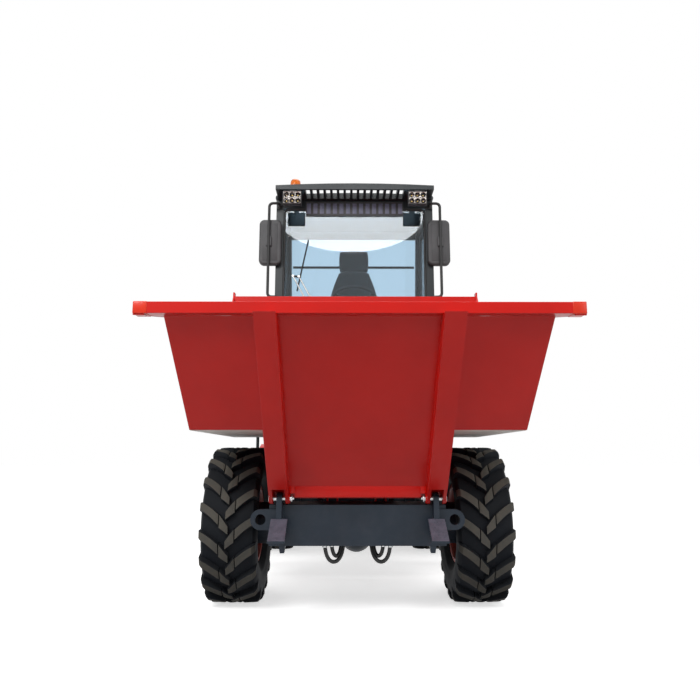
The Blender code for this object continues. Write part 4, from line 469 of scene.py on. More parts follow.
def add_cube(
    bm: bmesh.types.BMesh, low: Sequence[float], high: Sequence[float], bevel: float = 0.0, segments: int = 2
) -> None:
    """Adds a box between two corners, its edges rounded.

    Args:
        bm: The bmesh to add to.
        low: One corner.
        high: The opposite corner.
        bevel: The width of its rounded edges.
        segments: The segments of each rounded edge.
    """
    spans = Vector([abs(b - a) for a, b in zip(low, high)])
    middle = Vector([(a + b) / 2 for a, b in zip(low, high)])
    made = bmesh.ops.create_cube(bm, size=1, matrix=Matrix.Translation(middle) @ Matrix.Diagonal((*spans, 1)))
    if bevel:
        edges = list({e for v in made["verts"] for e in v.link_edges})
        bmesh.ops.bevel(
            bm, geom=edges, offset=bevel, segments=segments, profile=0.5, affect="EDGES", material=-1
        )


def add_bar(
    bm: bmesh.types.BMesh, start: Sequence[float], end: Sequence[float], radius: float, sides: int = 24,
    end_radius: float | None = None, bevel: float = 0.0,
) -> None:
    """Adds a round bar or cone between two points.

    Args:
        bm: The bmesh to add to.
        start: The middle of its first end.
        end: The middle of its second end.
        radius: Its radius at the start.
        sides: Its number of sides.
        end_radius: Its radius at the end, if that differs.
        bevel: The width of the broken edge at both ends.
    """
    start, end = Vector(start), Vector(end)
    run = end - start
    turn = run.to_track_quat("Z", "Y").to_matrix().to_4x4()
    made = bmesh.ops.create_cone(
        bm, cap_ends=True, segments=sides, radius1=radius,
        radius2=radius if end_radius is None else end_radius, depth=run.length,
        matrix=Matrix.Translation((start + end) / 2) @ turn,
    )
    if bevel:
        edges = {e for v in made["verts"] for e in v.link_edges}
        ring = [e for e in edges if any(len(f.verts) > 4 for f in e.link_faces)]
        bmesh.ops.bevel(bm, geom=ring, offset=bevel, segments=2, profile=0.5, affect="EDGES", material=-1)


def add_bolt(
    bm: bmesh.types.BMesh, place: Sequence[float], axis: Sequence[float], across: float = 0.019
) -> None:
    """Adds a hexagon bolt head on its washer.

    Args:
        bm: The bmesh to add to.
        place: The middle of the washer's seat.
        axis: The way the head points.
        across: The head's size across flats.
    """
    place, axis = Vector(place), Vector(axis).normalized()
    add_bar(bm, place - axis * across * 0.05, place + axis * across * 0.14, across * 0.62, 20)
    add_bar(
        bm, place + axis * across * 0.12, place + axis * across * 0.62, across * 0.56, 6, bevel=across * 0.05
    )


def add_tube(bm: bmesh.types.BMesh, route: Sequence[Sequence[float]], radius: float, sides: int = 12) -> None:
    """Adds a tube along a route by extruding a ring from point to point.

    Args:
        bm: The bmesh to add to.
        route: The points of its middle line.
        radius: Its radius.
        sides: Its number of sides.
    """
    points = [Vector(p) for p in route]
    before = None
    turn = None
    for i, point in enumerate(points):
        ahead = points[min(i + 1, len(points) - 1)] - points[max(i - 1, 0)]
        if turn is None:
            turn = ahead.to_track_quat("Z", "Y")
        else:
            turn = (turn @ Vector((0, 0, 1))).rotation_difference(ahead) @ turn
        ring = bmesh.ops.create_circle(
            bm, cap_ends=i in (0, len(points) - 1), segments=sides, radius=radius,
            matrix=Matrix.Translation(point) @ turn.to_matrix().to_4x4(),
        )["verts"]
        edges = [
            e for e in {e for v in ring for e in v.link_edges} if e.verts[0] in ring and e.verts[1] in ring
        ]
        if before is not None:
            bmesh.ops.bridge_loops(bm, edges=before + edges)
        before = edges


def turned(
    outline: Sequence[tuple[float, float]], axis: str, steps: int, place: Sequence[float], closed: bool = True
) -> bmesh.types.BMesh:
    """Turns an outline about an axis.

    Args:
        outline: Pairs of x and radius for the X axis, or of radius and z for the Z axis.
        axis: X or Z.
        steps: The steps of a full turn.
        place: Where the axis's zero goes.
        closed: Whether the outline's end joins its start.

    Returns:
        A new bmesh with the shape.
    """
    bm = bmesh.new()
    spots = [(p, -q, 0) if axis == "X" else (p, 0, q) for p, q in outline]
    verts = [bm.verts.new(spot) for spot in spots]
    after = verts[1:] + verts[:1] if closed else verts[1:]
    edges = [bm.edges.new(pair) for pair in zip(verts, after)]
    way = (1, 0, 0) if axis == "X" else (0, 0, 1)
    bmesh.ops.spin(
        bm, geom=verts + edges, cent=(0, 0, 0), axis=way, angle=math.tau, steps=steps, use_merge=True
    )
    bmesh.ops.translate(bm, vec=place, verts=bm.verts[:])
    return bm


def add_slab(bm: bmesh.types.BMesh, corners: Sequence[Sequence[float]], rise: Sequence[float]) -> None:
    """Adds a flat-faced solid by lifting a polygon.

    Args:
        bm: The bmesh to add to.
        corners: The polygon's corners in order.
        rise: The way from its first face to its second.
    """
    face = bm.faces.new([bm.verts.new(corner) for corner in corners])
    made = bmesh.ops.extrude_face_region(bm, geom=[face])["geom"]
    bmesh.ops.translate(bm, vec=rise, verts=[v for v in made if isinstance(v, bmesh.types.BMVert)])


def rounded(points: Sequence[Sequence[float]], bend: float, steps: int = 6) -> list[Vector]:
    """Rounds the inner corners of a route.

    Args:
        points: The route's corners.
        bend: How far before and after each corner the bend reaches.
        steps: The number of steps in each bend.

    Returns:
        The route with its bends.
    """
    route = [Vector(points[0])]
    for before, corner, after in zip(points, points[1:], points[2:]):
        before, corner, after = Vector(before), Vector(corner), Vector(after)
        start = corner + (before - corner).normalized() * bend
        end = corner + (after - corner).normalized() * bend
        for i in range(steps + 1):
            share = i / steps
            route.append(start.lerp(corner, share).lerp(corner.lerp(end, share), share))
    route.append(Vector(points[-1]))
    return route


@dataclass
class Tyre:
    """A traction tyre: a lathe-turned carcass and curved bar lugs that meet in a V."""

    radius: float = 0.4825
    width: float = 0.332
    rim_radius: float = 0.2286
    bead_half: float = 0.115
    lugs: int = 18
    lug_angle: float = 5.5
    sweep: float = 15.5
    curve: float = 1.35
    phase: float = -80.0
    lug_height: float = 0.036
    bar_span: tuple[float, float] = (0.0, 0.70)
    bar_width: tuple[float, float] = (6.0, 7.6)
    block_span: tuple[float, float] = (0.735, 1.05)
    block_width: tuple[float, float] = (9.4, 6.0)
    block_lead: float = 0.4
    stations: int = 12
    segments: int = 144

    def carcass_radius(self, share: float) -> float:
        """Returns the carcass radius at a share of the half width, 0 at the middle."""
        return self.radius - self.lug_height - 0.014 * abs(share) ** 3

    def profile(self, side: int) -> list[tuple[float, float]]:
        """Works out one half of the carcass's section.

        Args:
            side: The half's side, 1 or -1 along X.

        Returns:
            The outline from the crown down the sidewall to the bead, as x and radius.
        """
        half = self.width / 2
        low, bead = self.carcass_radius(1.0), self.bead_half
        points = [(half * share, self.carcass_radius(share)) for share in (0.0, 0.2, 0.4, 0.6, 0.78, 0.88)]
        sidewall = (
            (0.955, low - 0.012), (0.985, low - 0.032), (1.0, low - 0.058), (1.0, 0.372), (0.985, 0.352),
            (0.985, 0.344), (0.965, 0.330), (0.93, 0.305), (0.925, 0.297), (0.885, 0.288), (0.83, 0.272),
        )
        points += [(half * share, radius) for share, radius in sidewall]
        points += [
            (bead + 0.014, 0.262), (bead + 0.010, 0.2545), (bead, 0.2515), (bead, self.rim_radius + 0.0004),
        ]
        return [(side * x, radius) for x, radius in points]

    def spot(self, x: float, radius: float, turn: float) -> Vector:
        """Returns a point about the wheel's axis at a turn in degrees, 0 at the front."""
        angle = math.radians(turn + self.phase)
        return Vector((x, -radius * math.cos(angle), -radius * math.sin(angle)))

    def bar(
        self, bm: bmesh.types.BMesh, centre: Vector, face: int, start: float, span: tuple[float, float],
        wide: tuple[float, float], steps: int,
    ) -> None:
        """Adds one swept lug, its face chamfered, along part of the way from shoulder to crown.

        Args:
            bm: The bmesh to add to.
            centre: The wheel's middle.
            face: The side of the tyre, 1 or -1 along X.
            start: The turn in degrees at which the lug leaves the shoulder.
            span: The shares of the way at which it starts and ends.
            wide: Its width in degrees at both ends.
            steps: The number of sections.
        """
        half = self.width / 2
        before = None
        for i in range(steps + 1):
            share = span[0] + (span[1] - span[0]) * i / steps
            out = 1.0 - share
            x = face * half * 0.992 * out
            width = wide[0] + (wide[1] - wide[0]) * i / steps
            middle = start + self.lug_angle / 2 + self.sweep * math.copysign(abs(share) ** self.curve, share)
            base = self.carcass_radius(min(out, 1.0)) - (0.012 + 0.060 * max(out - 0.84, 0) / 0.16)
            top = self.radius - 0.0004 - 0.007 * max(out, 0) ** 4 - 0.022 * (max(out - 0.88, 0) / 0.12) ** 1.6
            end = 0.0035 if i in (0, steps) else 0.0
            slope, edge = 0.45, 0.42
            row = [
                (base, -width / 2 - slope), (top - 0.004 - end, -width / 2), (top - end, -width / 2 + edge),
                (top - end, width / 2 - edge), (top - 0.004 - end, width / 2), (base, width / 2 + slope),
            ]
            ring = [bm.verts.new(centre + self.spot(x, radius, middle + turn)) for radius, turn in row]
            edges = [bm.edges.new(pair) for pair in zip(ring, ring[1:] + ring[:1])]
            if i in (0, steps):
                bm.faces.new(ring)
            if before is not None:
                for made in bmesh.ops.bridge_loops(bm, edges=before + edges)["faces"]:
                    # The lug's top face takes the second, lighter material: wear and dust, partly painted
                    # light on the tops
                    made.material_index = int(ring[2] in made.verts and ring[3] in made.verts)
            before = edges

    def build(self, label: str, side: str, sign: int, axle_y: float) -> None:
        """Builds one tyre and lets it stand for its CAD node.

        Args:
            label: front or rear.
            side: left or right.
            sign: The side along X.
            axle_y: The axle's place.
        """
        centre = Vector((sign * WHEEL_X, axle_y, self.radius))
        body = f"wheel_{label}_{side}"
        outline = list(reversed(self.profile(-1))) + self.profile(1)[1:]
        bm = turned(outline, "X", self.segments, centre)
        carcass = finished(f"tyre_carcass_{label}_{side}", bm, TYRE_RUBBER, body, 38)
        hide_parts(f"tyre_{label}_{side}")
        bm = bmesh.new()
        pitch = 360 / self.lugs
        for i in range(self.lugs):
            for face, start in ((sign, i * pitch), (-sign, i * pitch + pitch / 2)):
                self.bar(bm, centre, face, start, self.bar_span, self.bar_width, self.stations)
                self.bar(bm, centre, face, start + self.block_lead, self.block_span, self.block_width, 4)
        lugs = finished(f"tyre_lugs_{label}_{side}", bm, TYRE_RUBBER, body, 24)
        # The lighter lug tops are partly painted light
        lugs.data.materials.append(DRESSER.material(TREAD_WEAR_AND_PAINTED_LIGHT))


@dataclass
class Rim:
    """A two-flange pressed rim with a dished disc, wheel nuts, a hub cover and a valve."""

    radius: float = 0.2286
    flange: float = 0.0214
    half: float = 0.115
    disc_out: float = 0.032
    disc_in: float = 0.020
    hub: float = 0.085
    nuts: int = 8
    nut_ring: float = 0.115
    segments: int = 96

    def outline(self, sign: int) -> list[tuple[float, float]]:
        """Works out the rim's section.

        Args:
            sign: The side of the machine, 1 or -1 along X.

        Returns:
            The closed section, as x along the axle and radius.
        """
        r, top = self.radius, self.radius + self.flange
        edge, near, far = self.half + 0.0068, self.disc_in, self.disc_out
        out = [
            (-edge, top - 0.004), (-self.half - 0.0045, top), (-self.half - 0.0003, top - 0.001),
            (-self.half - 0.0003, r + 0.002), (-self.half + 0.004, r - 0.001), (-0.075, r - 0.003),
            (-0.062, r - 0.006), (-0.040, r - 0.0065), (0.040, r - 0.0065), (0.062, r - 0.006),
            (0.075, r - 0.003), (self.half - 0.004, r - 0.001), (self.half + 0.0003, r + 0.002),
            (self.half + 0.0003, top - 0.001), (self.half + 0.0045, top), (edge, top - 0.004),
            (edge, r - 0.004), (self.half - 0.004, r - 0.0105), (0.070, r - 0.013), (0.052, r - 0.020),
            (far, r - 0.034), (far - 0.002, r - 0.060), (far, 0.150), (far, self.hub), (near, self.hub),
            (near, 0.150), (near - 0.004, r - 0.060), (near - 0.002, r - 0.036), (0.010, r - 0.016),
            (-0.010, r - 0.012), (-0.070, r - 0.012), (-self.half + 0.004, r - 0.010), (-edge, r - 0.004),
        ]
        return [(sign * x, radius) for x, radius in out]

    def build(self, label: str, side: str, sign: int, axle_y: float) -> None:
        """Builds one rim with its nuts.

        Args:
            label: front or rear.
            side: left or right.
            sign: The side along X.
            axle_y: The axle's place.
        """
        centre = Vector((sign * WHEEL_X, axle_y, WHEEL_Z))
        body = f"wheel_{label}_{side}"
        bm = turned(self.outline(sign), "X", self.segments, centre)
        rim = finished(f"rim_pressing_{label}_{side}", bm, RIM_ENAMEL, body, 30)
        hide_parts(f"rim_{label}_{side}")
        bm = bmesh.new()
        for i in range(self.nuts):
            turn = math.tau * (i + 0.5) / self.nuts
            seat = centre + Vector(
                (sign * self.disc_out, self.nut_ring * math.cos(turn), self.nut_ring * math.sin(turn))
            )
            add_bolt(bm, seat, (sign, 0, 0), 0.027)
            add_bar(bm, seat, seat + Vector((sign * 0.026, 0, 0)), 0.008, 12, bevel=0.001)
        finished(f"wheel_nuts_{label}_{side}", bm, ZINC_STEEL, body)
        bm = bmesh.new()
        foot = centre + Vector((sign * 0.046, 0.205 * math.cos(0.4), 0.205 * math.sin(0.4)))
        add_bar(bm, foot, foot + Vector((sign * 0.034, 0, 0)), 0.0045, 12, bevel=0.0006)
        add_bar(
            bm, foot + Vector((sign * 0.034, 0, 0)), foot + Vector((sign * 0.046, 0, 0)), 0.0055, 12,
            bevel=0.0008
        )
        finished(f"valve_{label}_{side}", bm, SEAL_RUBBER, body)


@dataclass
class Wheels:
    """The four wheels."""

    tyre: Tyre = field(default_factory=Tyre)
    rim: Rim = field(default_factory=Rim)

    def build(self) -> None:
        """Builds every tyre and rim."""
        for label, axle_y in (("front", FRONT_AXLE_Y), ("rear", REAR_AXLE_Y)):
            for side, sign in SIDES:
                self.tyre.build(label, side, sign, axle_y)
                self.rim.build(label, side, sign, axle_y)


@dataclass
class Shells:
    """The plates, castings and mouldings whose form the CAD has, with their edges broken."""

    plate: float = 0.0022
    fold: float = 0.0035
    cast: float = 0.0045
    fine: float = 0.001
    pin: float = 0.0012

    def table(self) -> list[tuple[str, float, Finish, str, str]]:
        """Lists the shells.

        Returns:
            A row for each shell: node, edge width, finish, body and slot.
        """
        red = (RED_ENAMEL, "skip", "red")
        front = (SLATE_COAT, "front_frame", "slate")
        rear = (SLATE_COAT, "rear_chassis", "slate")
        cab = (CAB_COAT, "rear_chassis", "cab_grey")
        plastic = (BLACK_ABS, "rear_chassis", "cab_grey")
        rows = [
            ("skip_tub", self.plate, *red),
            ("skip_headboard", self.plate, *red),
            ("engine_hood", self.cast, RED_ENAMEL, "engine_hood", "red"),
            ("front_crossmember", self.plate, *front),
            ("front_frame", self.plate, *front),
            ("rear_chassis", self.plate, *rear),
            ("axle_front", self.plate, *front),
            ("axle_rear", self.plate, *rear),
            ("counterweight", self.cast, *rear),
            ("cab_frame", self.plate, *cab),
            ("cab_roof", self.cast, *cab),
            ("roof_visor", self.plate, *cab),
            ("cab_tub", self.fold, *cab),
            ("bulkhead", self.plate, *cab),
            ("dashboard", self.cast, *plastic),
            ("seat_base", self.fold, *plastic),
            ("engine_block", self.cast, CAST_IRON, "rear_chassis", "engine"),
            ("steering_cylinder_barrel", self.plate, SLATE_COAT, "steering_barrel", "slate"),
            ("steering_cylinder_rod", self.fine, CHROME_ROD, "steering_rod", "steel"),
            ("hood_grille", self.fine, CAB_COAT, "engine_hood", "cab_grey"),
            ("exhaust", self.plate, EXHAUST_STEEL, "rear_chassis", "steel"),
        ]
        for side, _ in SIDES:
            rows += [
                (f"skip_rib_{side}", self.fold, *red),
                (f"rear_wing_{side}", self.plate, RED_ENAMEL, "rear_chassis", "red"),
                (f"side_tank_{side}", self.plate, *cab),
                (f"door_{side}", self.plate, CAB_COAT, f"door_{side}", "cab_grey"),
                (f"skip_pin_{side}", self.pin, ZINC_STEEL, "front_frame", "steel"),
                (f"tip_cylinder_{side}_barrel", self.plate, SLATE_COAT, f"tip_barrel_{side}", "slate"),
                (f"tip_cylinder_{side}_rod", self.fine, CHROME_ROD, f"tip_rod_{side}", "steel"),
            ]
        return rows

    def build(self) -> None:
        """Builds every shell."""
        for row in self.table():
            refined(*row)


@dataclass
class SkipDetails:
    """The rim's end caps, the toe strip, the painted reflection under the wings and the pins' collars and
    washers.
    """

    bar_front: float = -2.160
    pin_y: float = -1.375
    pin_z: float = 0.673
    rib_inner: float = 0.385
    rib_outer: float = 0.490
    wing_z: float = 1.0405

    def disc(self, bm: bmesh.types.BMesh, start: float, end: float, radius: float, bevel: float) -> None:
        """Adds a disc about the skip pins' axis.

        Args:
            bm: The bmesh to add to.
            start: Where it starts along X.
            end: Where it ends along X.
            radius: Its radius.
            bevel: The width of its broken edges.
        """
        ends = [(x, self.pin_y, self.pin_z) for x in (start, end)]
        add_bar(bm, *ends, radius, 32, bevel=bevel)

    def build(self) -> None:
        """Builds the skip's details."""
        rim = refined("skip_rim", 0.0035, RED_ENAMEL, "skip", "red")
        for vert in rim.data.vertices:
            if vert.co.y < self.bar_front - 0.002:
                vert.co.y = self.bar_front + 0.004
                vert.co.z += 0.018
        bm = bmesh.new()
        for _, sign in SIDES:
            add_cube(
                bm, (sign * 0.984, self.bar_front - 0.0035, 1.5535), (sign * 1.049, -2.085, 1.612), 0.004, 3
            )
        finished("rim_end_caps", bm, END_ENAMEL, "skip")
        bm = bmesh.new()
        add_cube(bm, (-0.352, -1.3895, 0.681), (0.352, -1.3815, 0.745), 0.002)
        for _, sign in SIDES:
            add_cube(bm, (sign * 0.3522, -1.3895, 0.700), (sign * 0.3845, -1.3815, 0.742), 0.002)
        finished("skip_toe_strip", bm, RED_ENAMEL, "skip")
        # A thin pale sheet under each wing paints the white ground's reflection
        bm = bmesh.new()
        for _, sign in SIDES:
            spots = [(0.507, -1.651), (0.887, -1.651), (0.862, -0.480), (0.507, -0.480)]
            add_slab(bm, [(sign * x, y, self.wing_z) for x, y in spots], (0, 0, 0.0023))
        finished("wing_underside_painted_reflection", bm, PALE_PRIMER_AND_PAINTED_REFLECTION, "skip")
        bm = bmesh.new()
        for _, sign in SIDES:
            for x in (self.rib_inner, self.rib_outer):
                self.disc(bm, sign * (x - 0.006), sign * (x + 0.006), 0.026, 0.0015)
        finished("rib_pin_collars", bm, RED_ENAMEL, "skip")
        bm = bmesh.new()
        for _, sign in SIDES:
            self.disc(bm, sign * 0.366, sign * 0.372, 0.021, 0.0012)
            self.disc(bm, sign * 0.493, sign * 0.498, 0.021, 0.0012)
            add_bolt(bm, (sign * 0.366, self.pin_y, self.pin_z), (-sign, 0, 0), 0.016)
        finished("skip_pin_washers", bm, ZINC_STEEL, "front_frame")


@dataclass
class CrossmemberDetails:
    """The studs and the worn faces of the two footplates on the front crossmember."""

    foot_back: float = -1.403
    foot_length: float = 0.155
    foot_drop: float = 0.101
    foot_top: float = 0.564
    foot_x: float = 0.435
    foot_half: float = 0.047

    def build(self) -> None:
        """Builds the crossmember's details."""
        run = Vector((0, -self.foot_length, -self.foot_drop))
        up = Vector((0, -self.foot_drop, self.foot_length)).normalized()
        bm = bmesh.new()
        for _, sign in SIDES:
            for row in range(9):
                for column in range(5):
                    share = (row + 0.5) / 9
                    across = (column - 2) * 0.0185 + (0.0046 if row % 2 else -0.0046)
                    seat = Vector((sign * self.foot_x + across, self.foot_back, self.foot_top)) + run * share
                    add_bar(bm, seat - up * 0.001, seat + up * 0.0028, 0.0058, 12, 0.0040)
        finished("footplate_studs", bm, WORN_COAT, "front_frame", 25)
        bm = bmesh.new()
        for _, sign in SIDES:
            x = sign * (self.foot_x - self.foot_half + 0.0015)
            low = Vector((x, self.foot_back - 0.002, self.foot_top - 0.0002))
            wide = Vector((sign * (2 * self.foot_half - 0.003), 0, 0))
            corners = [low, low + wide, low + wide + run * 0.985, low + run * 0.985]
            add_slab(bm, corners, up * 0.0012)
        finished("footplate_wear", bm, WORN_COAT, "front_frame")


@dataclass
class Housings:
    """The cast differential bowls of both axles."""

    radius: float = 0.1632
    half: float = 0.125
    drop: float = 0.020
    steps: int = 24

    def build(self) -> None:
        """Builds both bowls."""
        for label, y, body in (("front", FRONT_AXLE_Y, "front_frame"), ("rear", REAR_AXLE_Y, "rear_chassis")):
            turns = [math.pi * i / self.steps for i in range(self.steps + 1)]
            outline = [(self.half * math.cos(t), self.radius * math.sin(t)) for t in turns]
            bm = turned(outline, "X", 64, (0, y, WHEEL_Z - self.drop), closed=False)
            finished(f"differential_bowl_{label}", bm, SLATE_COAT, body, 50)


@dataclass
class Hoses:
    """The four hydraulic hose loops under the crossmember, with crimped ferrules and nuts."""

    outer_x: float = 0.186
    inner_x: float = 0.080
    low_z: float = 0.312
    nest: float = 0.038
    top_z: float = 0.450
    front_y: float = -1.290
    depth: float = 0.090
    radius: float = 0.011
    steps: int = 48

    def route(self, sign: int, nest: int) -> list[Vector]:
        """Returns the middle line of a loop.

        Args:
            sign: The side along X.
            nest: 0 for the outer loop, 1 for the inner.

        Returns:
            The route's points.
        """
        outer, inner = self.outer_x - nest * self.nest, self.inner_x + nest * self.nest / 3
        low = self.low_z + nest * self.nest * 0.8
        shift = nest * self.nest * 0.8
        points = [Vector((sign * outer, self.front_y + shift, self.top_z + 0.012))]
        for i in range(self.steps + 1):
            angle = math.pi * i / self.steps
            x = (outer + inner) / 2 + (outer - inner) / 2 * math.cos(angle)
            z = self.top_z - (self.top_z - low) * math.sin(angle) ** 0.7
            points.append(Vector((sign * x, self.front_y + (self.depth - shift) * i / self.steps + shift, z)))
        points.append(Vector((points[-1].x, points[-1].y, self.top_z + 0.012)))
        return points

    def build(self) -> None:
        """Builds the loops and their fittings."""
        for side, sign in SIDES:
            bm = bmesh.new()
            fittings = bmesh.new()
            for nest in (0, 1):
                route = self.route(sign, nest)
                add_tube(bm, route, self.radius, 20)
                for end in (route[0], route[-1]):
                    x, y = end.x, end.y
                    add_bar(fittings, (x, y, 0.447), (x, y, 0.433), 0.0155, 6, bevel=0.001)
                    add_bar(fittings, (x, y, 0.434), (x, y, 0.426), 0.0125, 24, bevel=0.001)
                    add_bar(fittings, (x, y, 0.427), (x, y, 0.404), 0.0138, 24, bevel=0.0015)
                    add_bar(fittings, (x, y, 0.405), (x, y, 0.398), 0.0132, 24, bevel=0.001)
            hose = finished(f"hose_loops_{side}", bm, HOSE_RUBBER, "front_frame", 60)
            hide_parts(f"hoses_{side}")
            finished(f"hose_fittings_{side}", fittings, ZINC_STEEL, "front_frame")
            bm = bmesh.new()
            low, high = self.inner_x - 0.018, self.outer_x + 0.018
            add_cube(
                bm, (sign * low, -1.3177, self.top_z),
                (sign * high, self.front_y + self.depth + 0.018, self.top_z + 0.025), 0.003
            )
            finished(f"hose_block_{side}", bm, SLATE_COAT, "front_frame")


@dataclass
class Glazing:
    """The cab's panes, the windscreen's seal and wiper, the rear rail and the header vent."""

    seal: float = 0.009

    def loop(self, bm: bmesh.types.BMesh, corners: Sequence[Sequence[float]], bend: float) -> None:
        """Adds a seal along a closed loop of corners.

        Args:
            bm: The bmesh to add to.
            corners: The loop's corners.
            bend: The reach of its rounded corners.
        """
        middle = (Vector(corners[0]) + Vector(corners[-1])) / 2
        add_tube(
            bm, rounded([middle, *corners, middle + (Vector(corners[0]) - middle) * 0.001], bend), self.seal,
            10
        )

    def build(self) -> None:
        """Dresses the panes and builds the seals."""
        for node in ("windscreen", "rear_window", "door_glass_left", "door_glass_right"):
            DRESSER.dress(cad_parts[node], CAB_GLASS)
        bm = bmesh.new()
        for y in (-0.098, -0.086):
            self.loop(
                bm, [(0.572, y, 1.768), (0.572, y, 2.907), (-0.572, y, 2.907), (-0.572, y, 1.768)], 0.04
            )
        finished("windscreen_seal", bm, SEAL_RUBBER, "rear_chassis", 60)
        bm = bmesh.new()
        add_tube(bm, [(-0.20, -0.119, 1.80), (-0.36, -0.120, 2.08), (-0.495, -0.120, 2.335)], 0.006, 12)
        add_tube(bm, [(-0.15, -0.119, 1.80), (-0.31, -0.120, 2.08), (-0.447, -0.120, 2.330)], 0.006, 12)
        for x, y, z in (
            (-0.20, -0.1, 1.80), (-0.15, -0.1, 1.80), (-0.495, -0.112, 2.335), (-0.447, -0.112, 2.330)
        ):
            add_bar(bm, (x, y, z), (x, -0.128, z), 0.011, 24, bevel=0.002)
        finished("wiper_arms", bm, ZINC_STEEL, "rear_chassis")
        bm = bmesh.new()
        add_cube(bm, (-0.215, -0.112, 1.780), (-0.135, -0.0955, 1.820), 0.004)
        add_bar(bm, (-0.505, -0.117, 2.337), (-0.430, -0.117, 2.328), 0.009, 16, bevel=0.002)
        foot, tip = Vector((-0.462, -0.105, 2.215)), Vector((-0.376, -0.105, 2.640))
        add_tube(bm, [foot, tip], 0.006, 10)
        for share in (0.06, 0.32, 0.62, 0.94):
            place = foot.lerp(tip, share)
            add_tube(bm, [place, place + Vector((0, -0.014, 0))], 0.0045, 8)
        shares = (0.06, 0.2, 0.35, 0.5, 0.65, 0.8, 0.94)
        bows = [Vector((0, -0.010 - 0.010 * math.sin(share * math.pi), 0)) for share in shares]
        add_tube(bm, [foot.lerp(tip, share) + bow for share, bow in zip(shares, bows)], 0.004, 8)
        wiper = finished("wiper_blade", bm, SEAL_RUBBER, "rear_chassis")
        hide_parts("wiper")
        bm = bmesh.new()
        add_tube(bm, [(-0.565, 0.668, 2.650), (0.565, 0.668, 2.650)], 0.011, 16)
        finished("rear_window_rail", bm, SEAL_RUBBER, "rear_chassis")
        bm = bmesh.new()
        add_cube(bm, (-0.40, -0.1085, 2.850), (0.40, -0.1000, 2.972), 0.003)
        finished("header_vent_panel", bm, BLACK_ABS, "rear_chassis")
        bm = bmesh.new()
        for i in range(15):
            x = (i - 7) * 0.0535
            add_cube(bm, (x - 0.0165, -0.1105, 2.868), (x + 0.0165, -0.1075, 2.956), 0.0012)
        finished("header_vent_slats", bm, VENT_MOULDING, "rear_chassis")


